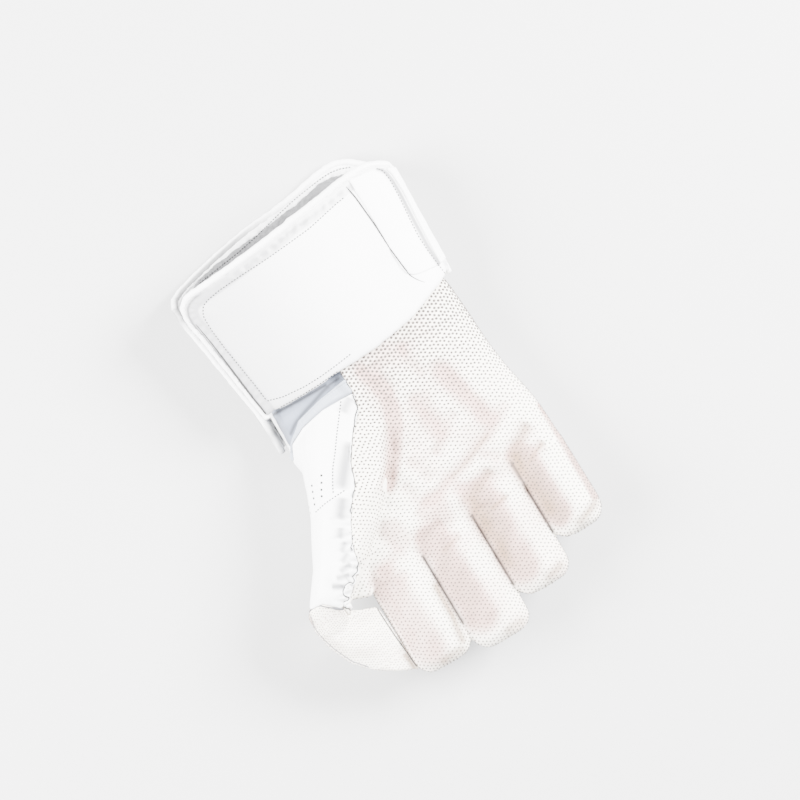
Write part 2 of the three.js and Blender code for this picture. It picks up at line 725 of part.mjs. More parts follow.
const bound = { start: bindingRadius / 2, end: bindingRadius / 2, low: 0, high: bindingRadius / 2 };
const frontPanelColumns = cuffColumns(frontPanelEdges, bound, frontCorners);
const backPanelColumns = cuffColumns(backPanelEdges, bound, backCorners);
const besideFrontBinding = { ...wholeEdge, end: 2 * bindingRadius + seamGap };
const frontPath = bindingPath(cuffColumns(frontPanelEdges, wholeEdge, frontCorners), true);
const backPath = bindingPath(cuffColumns(backPanelEdges, besideFrontBinding, backCorners), false);
const frontCut = tube(frontPath, bindingFit);
const backCut = tube(backPath, bindingFit);

function overlay() {
  const corners = { ...square, endLow: littleCornerRadius };
  const columns = cuffColumns(overlayEdges, wholeEdge, corners, frontPanelColumns);
  return largest(cuffSheet(columns, -layerGap - overlayThickness, overlayThickness).subtract(frontCut));
}

function lining() {
  const side = bindingFit + hemWidth;
  const inset = { start: side, end: bindingFit, low: 0, high: side };
  const corners = { ...square, startHigh: cornerRadius - bindingFit };
  const wristEnd = -palmSections[0].reach * handReach + seamGap;
  const columns = cuffColumns(backPanelEdges, inset, corners, backPanelColumns);
  const fromWrist = columns.map((column) => ({ ...column, low: wristEnd }));
  return cuffSheet(fromWrist, panelThickness + layerGap, liningThickness);
}

// The pieces of the hand, cut from its hollow form

function handPieces() {
  const outer = handForm(0);
  const hollow = handForm(handWall);
  let hand = outer.subtract(hollow);
  for (const slit of slits) hand = hand.subtract(slitForm(slit));
  hand = hand.intersect(aboveFloor());

  const pastHood = beyondLine(hoodLine(0));
  const pastHoodGap = beyondLine(hoodLine(seamGap));
  const front = palmSide(0);
  const wrist = beyondLine(bandEdge("lower"));
  const leatherSide = thumbSideOf(thumbSeam, 0);
  const backSide = thumbSideOf(thumbBackSeam, 0);
  const backSideGap = thumbSideOf(thumbBackSeam, seamGap);

  const thumb = hand.intersect(wrist).intersect(leatherSide);
  const leather = thumb.intersect(front.add(backSide)).subtract(pastHood);
  const facing = hand.intersect(front).subtract(thumbSideOf(thumbSeam, seamGap)).subtract(pastHoodGap);
  const besideWeb = handForm(-seamGap).subtract(pastHoodGap);
  const web = webSheet().subtract(besideWeb).subtract(hollow).add(hand.intersect(pastHoodGap));
  const back = hand.subtract(palmSide(seamGap)).subtract(backSideGap).subtract(pastHoodGap);
  const bandPlan = beyondLine(bandEdge("upper")).subtract(beyondLine(moved(bandEdge("lower"), 0, seamGap)));
  const band = hand.intersect(front).intersect(bandPlan).intersect(leatherSide);
  const tuck = beyondLine(moved(bandEdge("lower"), 0, -gussetTuck));
  const gusset = handForm(handWall + seamGap)
    .subtract(handForm(handWall + seamGap + gussetThickness))
    .intersect(palmSide(gussetTuck))
    .intersect(thumbSideOf(thumbSeam, gussetTuck))
    .subtract(tuck);
  return { leather, facing, web, back, band, gusset: largest(gusset) };
}

// Plan of all past the seam across the knuckles.
function pastKnuckles(gap) {
  const y = -knuckleSeam * handReach - gap;
  return beyondLine([new THREE.Vector2(-farOut, y), new THREE.Vector2(farOut, y)]);
}

// Plan of the strip that one stall's back takes up, between the slits beside it.
function stallPlan(i) {
  const left = i === 0 ? -farOut : slits[i - 1].across * halfPalm + seamGap / 2;
  const right = i === slits.length ? farOut : slits[i].across * halfPalm - seamGap / 2;
  return prism([
    new THREE.Vector2(left, -farOut),
    new THREE.Vector2(right, -farOut),
    new THREE.Vector2(right, farOut),
    new THREE.Vector2(left, farOut),
  ]);
}

const group = new THREE.Group();

function place(name, solid, finish) {
  const mesh = new THREE.Mesh(geometryOf(solid), new THREE.MeshStandardMaterial(finishes[finish]));
  mesh.name = name;
  group.add(mesh);
}

const pieces = handPieces();
place("palm_facing", pieces.facing, "facing");
place("thumb_leather", pieces.leather, "leather");
place("hand_back", pieces.back.subtract(pastKnuckles(0)), "leather");
const fingerBacks = pieces.back.intersect(pastKnuckles(seamGap));
for (const [i, finger] of fingers.entries()) {
  place("finger_back_" + finger.name, fingerBacks.intersect(stallPlan(i)), "leather");
}
place("wrist_band", pieces.band, "band");
place("wrist_gusset", pieces.gusset, "gusset");
place("thumb_web", pieces.web, "facing");
place("cuff_front_panel", panel(frontPanelColumns, [frontCut]), "leather");
place("cuff_back_panel", panel(backPanelColumns, [frontCut, backCut]), "leather");
place("cuff_side_overlay", overlay(), "leather");
place("cuff_front_binding", tube(frontPath, bindingRadius), "binding");
place("cuff_back_binding", tube(backPath, bindingRadius), "binding");
place("cuff_lining", lining(), "towelling");

// The origin is on the surface that the glove lies on, below the middle of the whole glove.
const extent = new THREE.Box3().setFromObject(group);
const middle = extent.getCenter(new THREE.Vector3());
for (const mesh of group.children) mesh.position.set(-middle.x, -middle.y, -extent.min.z);

export default group;
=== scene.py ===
"""Looks of a right-hand wicketkeeping glove that lies on its back, palm up.

The fingers point towards -Y and the thumb towards -X. Lengths are in metres unless a name ends in _mm.
"""

import math

import bmesh
import bpy
import numpy as np
from bpy.props import FloatProperty, FloatVectorProperty, PointerProperty
from bpy.types import Operator, Panel, PropertyGroup
from mathutils import Matrix, Vector
from mathutils.bvhtree import BVHTree
from mathutils.kdtree import KDTree


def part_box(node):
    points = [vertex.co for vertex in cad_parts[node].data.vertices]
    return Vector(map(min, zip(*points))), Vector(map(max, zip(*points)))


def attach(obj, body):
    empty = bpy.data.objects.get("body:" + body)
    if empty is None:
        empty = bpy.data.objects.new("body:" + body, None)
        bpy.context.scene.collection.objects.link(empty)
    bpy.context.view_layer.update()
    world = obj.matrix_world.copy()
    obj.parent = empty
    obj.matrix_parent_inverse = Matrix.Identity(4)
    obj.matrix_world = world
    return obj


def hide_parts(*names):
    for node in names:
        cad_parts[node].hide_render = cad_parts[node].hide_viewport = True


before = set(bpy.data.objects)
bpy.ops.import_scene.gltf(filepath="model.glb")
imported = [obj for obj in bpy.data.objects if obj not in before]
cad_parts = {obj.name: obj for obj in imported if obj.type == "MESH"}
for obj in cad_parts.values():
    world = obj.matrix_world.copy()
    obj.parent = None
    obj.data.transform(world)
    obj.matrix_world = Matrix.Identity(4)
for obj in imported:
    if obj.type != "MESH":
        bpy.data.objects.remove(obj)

bl_info = {
    "name": "Wicketkeeping Glove",
    "version": (1, 0, 0),
    "blender": (4, 5, 0),
    "location": "View3D > Sidebar > Glove",
    "description": "Builds the looks of a padded wicketkeeping glove round its fixed frame",
    "category": "Add Mesh",
}

MM = 0.001
MERGE = 0.002 * MM
STALLS = ("index", "middle", "ring", "little")
EDGE_STEP = 0.002
ABOVE = 0.3  # higher than all of the glove
DOWN = Vector((0, 0, -1))
GATHER_PITCH = 0.006
RUFFLE_PITCH = 0.009
PUCKER_PITCH = 0.0075

# Size of the pimples against their usual one, at shares of the hand's reach
PIMPLE_SIZES = ((0.5, 0.8), (0.25, 1.0), (0, 1.36))

# Rise of a stall's front in millimetres, at shares of its width
STALL_SHARES = (0, 0.05, 0.13, 0.35, 0.56, 0.63, 0.72, 1.0)
STALL_RISE = (0, -1.6, -2.7, -1.3, 1.2, 1.7, 1.1, -1.0)

# The hand's own grid: across is a share of half the palm's width, reach of the hand's length from the wrist line.
INDEX_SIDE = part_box("finger_back_index")[0].x
LITTLE_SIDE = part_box("finger_back_little")[1].x
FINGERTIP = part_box("finger_back_middle")[0].y
MIDDLE = (INDEX_SIDE + LITTLE_SIDE) / 2
HALF_PALM = (LITTLE_SIDE - INDEX_SIDE) / 2
SEAM_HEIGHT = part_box("palm_facing")[0].z
CUFF_LOW, CUFF_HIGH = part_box("cuff_back_panel")


def length_setting(name, description, default):
    return FloatProperty(name=name, description=description, default=default, unit="LENGTH")


def colour_setting(name, description, default):
    return FloatVectorProperty(name=name, description=description, default=default, size=3, subtype="COLOR")


class HandProperties(PropertyGroup):
    """Sizes and colours of the hand."""

    hand_reach: length_setting("Hand reach", "From the wrist line to the middle fingertip", 0.220)
    pimple_pitch: length_setting("Pimple pitch", "From one pimple to the next in a row", 0.00303)
    pimple_width: length_setting("Pimple width", "Across the foot of a pimple", 0.0017)
    pimple_height: length_setting("Pimple height", "How far a pimple stands out", 0.00045)
    rubber_colour: colour_setting("Rubber", "Colour of the facing's crowns", (0.92, 0.88, 0.79))
    # Painted shade: the pink that the facing takes on the shaded left sides of the stalls and in its folds
    soft_shade_colour: colour_setting("Blush", "Colour of the facing in its soft shade", (0.72, 0.48, 0.43))
    # Painted shade: the darker colour of the facing in its folds and along the shade strokes
    fold_shade_colour: colour_setting("Recess", "Colour of the facing in its folds", (0.35, 0.235, 0.195))
    # Painted shade and shadow in brown on the stalls, beside the index and along small folds, and the tan of the
    # fingertips' edges
    tan_and_shade_colour: colour_setting("Stain", "Colour of the facing where it is soiled", (0.24, 0.15, 0.085))
    # Painted shadow: the near black down the slits between the stalls
    slit_shadow_colour: colour_setting("Slit", "Colour deep between two stalls", (0.02, 0.014, 0.012))
    # Painted shadow: the pimples are coloured dark for the small shadows they cast on the pale rubber
    pimple_shadow_colour: colour_setting("Pimple", "Colour of the pimples", (0.075, 0.06, 0.054))


class LeatherProperties(PropertyGroup):
    """Sizes and colours of the leather and its thread."""

    leather_colour: colour_setting("Leather", "Colour of the smooth leather", (0.93, 0.93, 0.93))
    # Painted shadow: the stitches are near black for their needle holes and the shade in their grooves; two grey lines
    # are made from this colour
    stitch_shade_colour: colour_setting("Thread", "Colour of the sewing thread", (0.02, 0.02, 0.022))
    stitch_pitch: length_setting("Stitch pitch", "From one stitch to the next", 0.0023)
    stitch_length: length_setting("Stitch length", "Length of one stitch", 0.0015)
    stitch_width: length_setting("Stitch width", "Thickness of the thread", 0.00105)
    # Painted shade: the grey of the leather in its puckers, folds and gathers and over the cuff's left side
    shade_colour: colour_setting("Shade", "Colour of the leather in its puckers", (0.30, 0.30, 0.31))
    # Painted shadow: black inside the air holes and along the thin lines laid in joins and beside edges
    hole_and_line_shadow_colour: colour_setting("Hole", "Colour inside the air holes and of the dark lines", (0.02, 0.02, 0.02))
    shadow_colour: colour_setting("Shadow", "Colour deep beside the rolls and in seams", (0.04, 0.04, 0.045))
    stitch_inset: length_setting("Stitch inset", "From the middle of the binding to its stitches", 0.0098)


class ClothProperties(PropertyGroup):
    """Colours and sizes of the cloth pieces."""

    towelling_colour: colour_setting("Towelling", "Colour of the lining", (0.16, 0.16, 0.165))
    gusset_colour: colour_setting("Gusset", "Colour of the gusset", (0.235, 0.265, 0.335))
    elastic_colour: colour_setting("Elastic", "Colour of the wrist band", (0.37, 0.405, 0.47))
    rib_pitch: length_setting("Rib pitch", "From one rib of the elastic to the next", 0.0021)


class StageProperties(PropertyGroup):
    """The floor, the lights and the camera."""

    floor_colour: colour_setting("Floor", "Colour of the plain floor", (0.5, 0.5, 0.5))
    key_power: FloatProperty(name="Key", description="Power of the key light in watts", default=300.0)
    fill_power: FloatProperty(name="Fill", description="Power of the fill light in watts", default=240.0)
    sky: FloatProperty(name="Sky", description="Strength of the even light from all round", default=2.3)
    lens: FloatProperty(name="Lens", description="Focal length in millimetres", default=200.0)
    camera_tilt: FloatProperty(
        name="Tilt", description="Camera's lean from straight down", default=math.radians(2.0), subtype="ANGLE"
    )
    camera_roll: FloatProperty(
        name="Roll",
        description="Turn of the glove's length in the picture",
        default=math.radians(-31.0),
        subtype="ANGLE",
    )
    view_width: length_setting("View width", "Width of the picture at the glove", 0.560)


# Places on the hand


def settings():
    return bpy.context.scene.glove_hand


def leather_settings():
    return bpy.context.scene.glove_leather


def spot(across, reach):
    """A place in plan, from shares of the hand's own grid."""
    return MIDDLE + across * HALF_PALM, FINGERTIP + (1 - reach) * settings().hand_reach


def plan_line(places, spacing=0.002, rounds=4):
    """A rounded line in plan through places in shares of the hand's grid."""
    return smooth_line([spot(*place) for place in places], spacing, rounds)


def over_width(points, start, end):
    """0 before one share across the hand and 1 past another, from either side."""
    return eased(points[:, 0], spot(start, 0)[0], spot(end, 0)[0])


def over_reach(points, start, end):
    """0 before one share of the hand's reach and 1 past another, from either side."""
    return eased(points[:, 1], spot(0, start)[1], spot(0, end)[1])


def stall_columns():
    """The middle and the outer edge of each stall, across the hand."""
    columns = []
    for name in STALLS:
        low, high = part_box("finger_back_" + name)
        columns.append((low.x, (low.x + high.x) / 2, high.x))
    return columns


# Meshes


def linked(name, mesh):
    obj = bpy.data.objects.new(name, mesh)
    bpy.context.scene.collection.objects.link(obj)
    return obj


def applied(obj):
    """The object with its modifiers made part of its mesh."""
    depsgraph = bpy.context.evaluated_depsgraph_get()
    mesh = bpy.data.meshes.new_from_object(obj.evaluated_get(depsgraph))
    before = obj.data
    obj.modifiers.clear()
    obj.data = mesh
    bpy.data.meshes.remove(before)
    return obj


def points_of(mesh):
    flat = np.empty(len(mesh.vertices) * 3)
    mesh.vertices.foreach_get("co", flat)
    return flat.reshape(-1, 3)


def normals_of(mesh):
    flat = np.empty(len(mesh.vertices) * 3)
    mesh.vertices.foreach_get("normal", flat)
    return flat.reshape(-1, 3)


def set_points(mesh, points):
    mesh.vertices.foreach_set("co", points.astype(np.float32).ravel())
    mesh.update()


def triangles_of(mesh):
    mesh.calc_loop_triangles()
    flat = np.empty(len(mesh.loop_triangles) * 3, dtype=np.int32)
    mesh.loop_triangles.foreach_get("vertices", flat)
    return flat.reshape(-1, 3)


def tree_of(*objects):
    """A search tree over the meshes of several objects."""
    points = []
    faces = []
    for obj in objects:
        start = len(points)
        points.extend(vertex.co for vertex in obj.data.vertices)
        faces.extend([start + i for i in face.vertices] for face in obj.data.polygons)
    return BVHTree.FromPolygons(points, faces)


def distances(points, tree, reach):
    """How far each point is from a tree, up to a reach."""
    found = np.full(len(points), reach)
    for i, point in enumerate(points):
        hit = tree.find_nearest(Vector(point), reach)
        if hit[3] is not None:
            found[i] = hit[3]
    return found


def merged_copy(name, node):
    mesh = bpy.data.meshes.new(name)
    form = bmesh.new()
    form.from_mesh(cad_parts[node].data)
    bmesh.ops.remove_doubles(form, verts=form.verts, dist=MERGE)
    form.to_mesh(mesh)
    form.free()
    return linked(name, mesh)


def softened(name, node, voxel, rounds, beside=(), rim=0.006, swell=0.0):
    """A fine and smooth copy of a CAD node. Its rim along the nodes named in beside stays where it is."""
    obj = merged_copy(name, node)
    remesh = obj.modifiers.new("Fine skin", "REMESH")
    remesh.mode = "VOXEL"
    remesh.voxel_size = voxel
    applied(obj)
    free = np.ones(len(obj.data.vertices))
    if beside:
        reach = rim + MM
        apart = distances(points_of(obj.data), tree_of(*[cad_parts[other] for other in beside]), reach)
        free = np.clip((apart - MM) / rim, 0.0, 1.0)
    group = obj.vertex_groups.new(name="free")
    for level in range(11):
        chosen = np.flatnonzero(np.round(free * 10) == level)
        group.add(chosen.tolist(), level / 10, "REPLACE")
    settle = obj.modifiers.new("Settled skin", "SMOOTH")
    settle.factor = 0.5
    settle.iterations = rounds
    settle.vertex_group = "free"
    trim = obj.modifiers.new("Voxel steps", "SMOOTH")
    trim.factor = 0.5
    trim.iterations = 2
    applied(obj)
    obj.vertex_groups.clear()
    mesh = obj.data
    if swell:
        set_points(mesh, points_of(mesh) + normals_of(mesh) * (swell * free)[:, None])
    for polygon in mesh.polygons:
        polygon.use_smooth = True
    return obj


def copies(name, template, places):
    """One mesh that holds a copy of a template at each place, a 4 by 4 matrix."""
    points = points_of(template)
    sizes = np.array([len(face.vertices) for face in template.polygons])
    corners = np.concatenate([np.array(face.vertices) for face in template.polygons])
    homogeneous = np.hstack([points, np.ones((len(points), 1))])
    everywhere = np.einsum("nij,pj->npi", np.asarray(places), homogeneous)[..., :3].reshape(-1, 3)
    count = len(places)
    shift = np.repeat(np.arange(count) * len(points), len(corners))
    all_corners = np.tile(corners, count) + shift
    all_sizes = np.tile(sizes, count)
    mesh = bpy.data.meshes.new(name)
    mesh.vertices.add(len(everywhere))
    mesh.vertices.foreach_set("co", everywhere.astype(np.float32).ravel())
    mesh.loops.add(len(all_corners))
    mesh.loops.foreach_set("vertex_index", all_corners.astype(np.int32))
    mesh.polygons.add(len(all_sizes))
    starts = np.concatenate([[0], np.cumsum(all_sizes)[:-1]])
    mesh.polygons.foreach_set("loop_start", starts.astype(np.int32))
    mesh.polygons.foreach_set("use_smooth", np.ones(len(all_sizes), dtype=bool))
    mesh.update(calc_edges=True)
    bpy.data.meshes.remove(template)
    return linked(name, mesh)


def shaped(build):
    """A mesh from a function that fills an empty bmesh."""
    mesh = bpy.data.meshes.new("template")
    form = bmesh.new()
    build(form)
    form.to_mesh(mesh)
    form.free()
    return mesh


def upright_places(points, ups, alongs):
    """Matrices with their Z axis along ups and their X axis near alongs."""
    z = ups / np.linalg.norm(ups, axis=1, keepdims=True)
    x = alongs - z * np.sum(alongs * z, axis=1, keepdims=True)
    x /= np.maximum(np.linalg.norm(x, axis=1, keepdims=True), 1e-9)
    y = np.cross(z, x)
    places = np.zeros((len(points), 4, 4))
    places[:, :3, 0] = x
    places[:, :3, 1] = y
    places[:, :3, 2] = z
    places[:, :3, 3] = points
    places[:, 3, 3] = 1.0
    return places


def set_values(mesh, name, values):
    attribute = mesh.attributes.new(name, "FLOAT", "POINT")
    attribute.data.foreach_set("value", values.astype(np.float32))


def finished(obj, slot_name, material, *nodes):
    """Hands a finished piece to the frame with its material, and hides the nodes it stands for; its slot name is not
    used.
    """
    obj.data.materials.clear()
    obj.data.materials.append(material)
    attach(obj, "root")
    if nodes:
        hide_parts(*nodes)
    return obj


# Lines, folds and ripples


def even_line(points, spacing):
    """A line through points, in even steps."""
    points = np.asarray(points, dtype=float)
    runs = np.linalg.norm(np.diff(points, axis=0), axis=1)
    way = np.concatenate([[0.0], np.cumsum(runs)])
    stops = np.arange(0.0, way[-1], spacing)
    return np.stack([np.interp(stops, way, points[:, axis]) for axis in range(points.shape[1])], axis=1)


def smooth_line(points, spacing=0.002, rounds=12):
    """A rounded line through a few points."""
    line = even_line(points, spacing)
    for _ in range(rounds):
        line[1:-1] = (line[:-2] + 2 * line[1:-1] + line[2:]) / 4
    return line


def beside_line(points, line):
    """For points in plan: distance from a line, side of it (positive is left of its run) and share along it."""
    best = np.full(len(points), np.inf)
    side = np.zeros(len(points))
    share = np.zeros(len(points))
    steps = len(line) - 1
    for i in range(steps):
        start = line[i]
        run = line[i + 1] - start
        gap = points - start
        along = np.clip(gap @ run / (run @ run), 0.0, 1.0)
        away = gap - along[:, None] * run
        distance = np.hypot(away[:, 0], away[:, 1])
        nearer = distance < best
        best[nearer] = distance[nearer]
        cross = run[0] * gap[:, 1] - run[1] * gap[:, 0]
        side[nearer] = np.sign(cross[nearer])
        share[nearer] = (i + along[nearer]) / steps
    return best, side, share


def faded(share, start=0.12, end=0.12):
    """1 along a line, falling to 0 at its ends."""
    return np.clip(share / start, 0.0, 1.0) * np.clip((1 - share) / end, 0.0, 1.0)


def folds(points, rows):
    """How far a table of folds lifts and presses each point. A row has the width and the depth of a fold, the lift
    of the soft roll on the thumb's side of it, and its line in shares of the hand's grid."""
    lift = np.zeros(len(points))
    press = np.zeros(len(points))
    for width_mm, depth_mm, roll_mm, places in rows:
        width = width_mm * MM
        line = plan_line(places)
        near = near_line(points, line, 4 * width)
        distance, side, share = beside_line(points[near, :2], line)
        fade = np.sqrt(faded(share))
        signed = distance * side / width
        dip = bell(signed) * depth_mm * MM * fade
        roll = bell(signed, -1.3) * roll_mm * MM * fade
        lift[near] += roll
        press[near] = np.maximum(press[near], dip)
    return lift, press


def near_line(points, line, reach):
    """The numbers of the points whose plan is within reach of the box round a line."""
    plan = points[:, :2]
    return np.flatnonzero(np.all((plan > line.min(axis=0) - reach) & (plan < line.max(axis=0) + reach), axis=1))


def tints(points, rows, steepness=2):
    """How strongly a table of soft strokes colours each point. A row has the strength and the width of a stroke, and
    its line in shares of the hand's grid."""
    amount = np.zeros(len(points))
    for strength, width_mm, places in rows:
        width = width_mm * MM
        line = plan_line(places, rounds=2)
        near = near_line(points, line, 3 * width)
        distance, _, _ = beside_line(points[near, :2], line)
        amount[near] = np.maximum(amount[near], strength * bell(distance, 0, width, steepness))
    return amount


def ripple(points, wavelength, seed, waves=7):
    """Smooth unevenness between -1 and 1 with a usual distance from crest to crest."""
    draw = np.random.default_rng(seed)
    total = np.zeros(len(points))
    for _ in range(waves):
        direction = draw.normal(size=3)
        direction /= np.linalg.norm(direction)
        size = wavelength * draw.uniform(0.7, 1.4)
        total += np.sin(points @ direction * (2 * math.pi / size) + draw.uniform(0, 2 * math.pi))
    return total / math.sqrt(waves)


def bell(value, middle=0.0, width=1.0, steepness=2):
    """1 at the middle, falling to 0 on both sides."""
    return np.exp(-(((value - middle) / width) ** steepness))


def eased(value, low, high):
    """0 below low, 1 above high, and smooth between."""
    share = np.clip((value - low) / (high - low), 0.0, 1.0)
    return share * share * (3 - 2 * share)


# The rows of pimples


class Unrolled:
    """The rubber rolled out flat, measured from the crowns of its columns, so that rows of pimples stay even."""

    STEP = 0.001

    def __init__(self, tree, low, high):
        self.xs = np.arange(low.x - self.STEP, high.x + 2 * self.STEP, self.STEP)
        self.ys = np.arange(low.y - self.STEP, high.y + 2 * self.STEP, self.STEP)
        self.height = np.full((len(self.xs), len(self.ys)), low.z)
        for i, x in enumerate(self.xs):
            for j, y in enumerate(self.ys):
                hit = tree.ray_cast(Vector((x, y, high.z + 0.01)), DOWN)
                if hit[0] is not None:
                    self.height[i, j] = hit[0].z
        runs = np.hypot(self.STEP, np.diff(self.height, axis=0))
        self.across = np.vstack([np.zeros(len(self.ys)), np.cumsum(runs, axis=0)])

    def flat(self, points, normals, crown):
        """Flat coordinates of points on the rubber, across from the crown of each."""
        j = np.clip(np.round((points[:, 1] - self.ys[0]) / self.STEP).astype(int), 0, len(self.ys) - 1)
        i_crown = np.round((crown - self.xs[0]) / self.STEP).astype(int)
        right = points[:, 0] >= crown
        i_exact = (points[:, 0] - self.xs[0]) / self.STEP
        i = np.where(right, np.floor(i_exact), np.ceil(i_exact)).astype(int)
        i = np.clip(i, 0, len(self.xs) - 1)
        drop = np.maximum(0.0, self.height[i, j] - points[:, 2])
        steep = np.abs(normals[:, 0]) / (np.abs(normals[:, 0]) + np.abs(normals[:, 1]) + 1e-6)
        sides = np.where(right, 1.0, -1.0)
        rest = np.abs(points[:, 0] - self.xs[i])
        u = crown + self.across[i, j] - self.across[i_crown, j] + sides * (rest + steep * drop)
        crown_height = self.height[i_crown, :]
        runs = np.hypot(self.STEP, np.diff(crown_height, axis=1))
        way = np.hstack([np.zeros((len(points), 1)), np.cumsum(runs, axis=1)])
        row = np.arange(len(points))
        v = way[row, j] - way[row, -1] - (1 - steep) * drop
        return u, v


def pimple_spots(mesh, flat_u, flat_v, outside, pitch):
    """Where the pimples stand: each triangle of the skin that holds a place of the staggered rows."""
    corners = triangles_of(mesh)
    corners = corners[outside[corners].all(axis=1)]
    row_gap = pitch * math.sqrt(3) / 2
    middle_u = flat_u[corners].mean(axis=1)
    middle_v = flat_v[corners].mean(axis=1)
    line = np.round(middle_u / row_gap)
    shift = np.where(line % 2 == 0, 0.0, pitch / 2)
    target_u = line * row_gap
    target_v = np.round((middle_v - shift) / pitch) * pitch + shift
    a, b, c = corners[:, 0], corners[:, 1], corners[:, 2]
    ux, vx = flat_u[b] - flat_u[a], flat_v[b] - flat_v[a]
    uy, vy = flat_u[c] - flat_u[a], flat_v[c] - flat_v[a]
    du, dv = target_u - flat_u[a], target_v - flat_v[a]
    area = ux * vy - uy * vx
    area = np.where(np.abs(area) < 1e-12, 1e-12, area)
    s = (du * vy - uy * dv) / area
    t = (ux * dv - du * vx) / area
    inside = (s >= 0) & (t >= 0) & (s + t <= 1)
    points = points_of(mesh)
    s, t = s[inside, None], t[inside, None]
    a, b, c = a[inside], b[inside], c[inside]
    found = points[a] * (1 - s - t) + points[b] * s + points[c] * t
    normals = np.cross(points[b] - points[a], points[c] - points[a])
    kept = []
    cells = {}
    for n, point in enumerate(found):
        cell = tuple(np.floor(point / pitch).astype(int))
        near = [
            m
            for dx in (-1, 0, 1)
            for dy in (-1, 0, 1)
            for dz in (-1, 0, 1)
            for m in cells.get((cell[0] + dx, cell[1] + dy, cell[2] + dz), ())
        ]
        if any(np.linalg.norm(found[m] - point) < 0.6 * pitch for m in near):
            continue
        cells.setdefault(cell, []).append(n)
        kept.append(n)
    return found[kept], normals[kept]


def pimples(name, obj, flat, outside, fineness=1.0):
    """Low round pimples over the outside of a rubber piece, wider towards the wrist."""
    hand = settings()
    u, v = flat
    points, normals = pimple_spots(obj.data, u, v, outside, hand.pimple_pitch * fineness)

    def dome(form):
        bmesh.ops.create_cone(
            form,
            cap_ends=True,
            segments=8,
            radius1=hand.pimple_width / 2,
            radius2=hand.pimple_width * 0.34,
            depth=hand.pimple_height * 1.6,
            matrix=Matrix.Translation((0, 0, hand.pimple_height * 0.2)),
        )
        foot = min(form.faces, key=lambda face: face.calc_center_median().z)
        bmesh.ops.delete(form, geom=[foot], context="FACES_ONLY")

    alongs = np.tile([1.0, 0.0, 0.0], (len(points), 1))
    places = upright_places(points, normals, alongs)
    size = np.interp(points[:, 1], [spot(0, reach)[1] for reach, _ in PIMPLE_SIZES], [size for _, size in PIMPLE_SIZES])
    places[:, :3, :2] *= (size * fineness)[:, None, None]
    return copies(name, shaped(dome), places)


# Cords, stitches and lines on a skin


def cord(name, line, radius):
    """A round cord along a line. The radius is one number or one for each point."""
    curve = bpy.data.curves.new(name, "CURVE")
    curve.dimensions = "3D"
    curve.bevel_depth = 1.0
    curve.bevel_resolution = 1
    curve.use_fill_caps = True
    spline = curve.splines.new("POLY")
    spline.points.add(len(line) - 1)
    spline.points.foreach_set("co", np.hstack([line, np.ones((len(line), 1))]).astype(np.float32).ravel())
    spline.points.foreach_set("radius", np.broadcast_to(radius, len(line)).astype(np.float32))
    source = linked(name + "_line", curve)
    depsgraph = bpy.context.evaluated_depsgraph_get()
    mesh = bpy.data.meshes.new_from_object(source.evaluated_get(depsgraph))
    bpy.data.objects.remove(source)
    for polygon in mesh.polygons:
        polygon.use_smooth = True
    return linked(name, mesh)


def skin_below(tree, places):
    """Points and normals of a skin below places in plan, without those that miss it."""
    hits = [tree.ray_cast(Vector((x, y, ABOVE)), DOWN) for x, y in places]
    hits = [hit for hit in hits if hit[0] is not None]
    return np.array([hit[0] for hit in hits]), np.array([hit[1] for hit in hits])


def laid_line(tree, places, spacing=0.001, rise=0.0):
    """A line in shares of the hand's grid, laid from above on a skin, with the skin's normals."""
    line, normals = skin_below(tree, plan_line(places, spacing, rounds=3))
    return line + normals * rise, normals


def edging(name, slot_name, material, tree, places, radii, rise=0.1 * MM):
    """A cord laid on a skin. Its radii are a table of shares of its length and millimetres."""
    line, _ = laid_line(tree, places, rise=rise)
    radius = np.interp(np.linspace(0, 1, len(line)), *np.transpose(radii)) * MM
    return finished(cord(name, line, radius), slot_name, material)


def stitched(name, slot_name, lines):
    """One piece with the stitches along several lines, each a pair of points and normals."""
    places = [stitch_places(line, normals) for line, normals in lines if len(line) > 2]
    obj = copies(name, shaped(thread_stitch), np.concatenate(places))
    return finished(obj, slot_name, thread_material())


def thread_stitch(form):
    leather = leather_settings()
    bmesh.ops.create_uvsphere(form, u_segments=6, v_segments=4, radius=0.5)
    size = (leather.stitch_length, leather.stitch_width, leather.stitch_width)
    turn = Matrix.Rotation(math.pi / 2, 4, "Y")
    bmesh.ops.transform(form, matrix=Matrix.Diagonal((*size, 1.0)) @ turn, verts=form.verts)


def stitch_places(line, normals):
    """Places of stitches along a line that lies on a skin."""
    pitch = leather_settings().stitch_pitch
    both = np.hstack([line, normals])
    runs = np.linalg.norm(np.diff(line, axis=0), axis=1)
    way = np.concatenate([[0.0], np.cumsum(runs)])
    stops = np.arange(pitch / 2, way[-1], pitch)
    steps = np.stack([np.interp(stops, way, both[:, axis]) for axis in range(6)], axis=1)
    points, ups = steps[:, :3], steps[:, 3:]
    return upright_places(points, ups, np.gradient(points, axis=0))


def tube_line(node, centre):
    """The middle line of a rolled edge, from its corners in the order in which they lie round a centre."""
    points = points_of(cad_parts[node].data)
    points = np.unique(np.round(points, 6), axis=0)
    turn = np.arctan2(points[:, 1] - centre[1], points[:, 0] - centre[0])
    order = np.argsort(turn)
    gaps = np.diff(np.append(turn[order], turn[order[0]] + 2 * math.pi))
    order = np.roll(order, -(int(np.argmax(gaps)) + 1))
    line = points[order]
    window = 12
    kernel = np.ones(window) / window
    line = np.stack([np.convolve(line[:, axis], kernel, mode="valid") for axis in range(3)], axis=1)
    return smooth_line(line, spacing=EDGE_STEP, rounds=6)


def cuff_axis(point):
    """The middle of the cuff's hollow, level with a point."""
    return Vector(((CUFF_LOW.x + CUFF_HIGH.x) / 2, point.y, (CUFF_LOW.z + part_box("cuff_front_panel")[1].z) / 2))


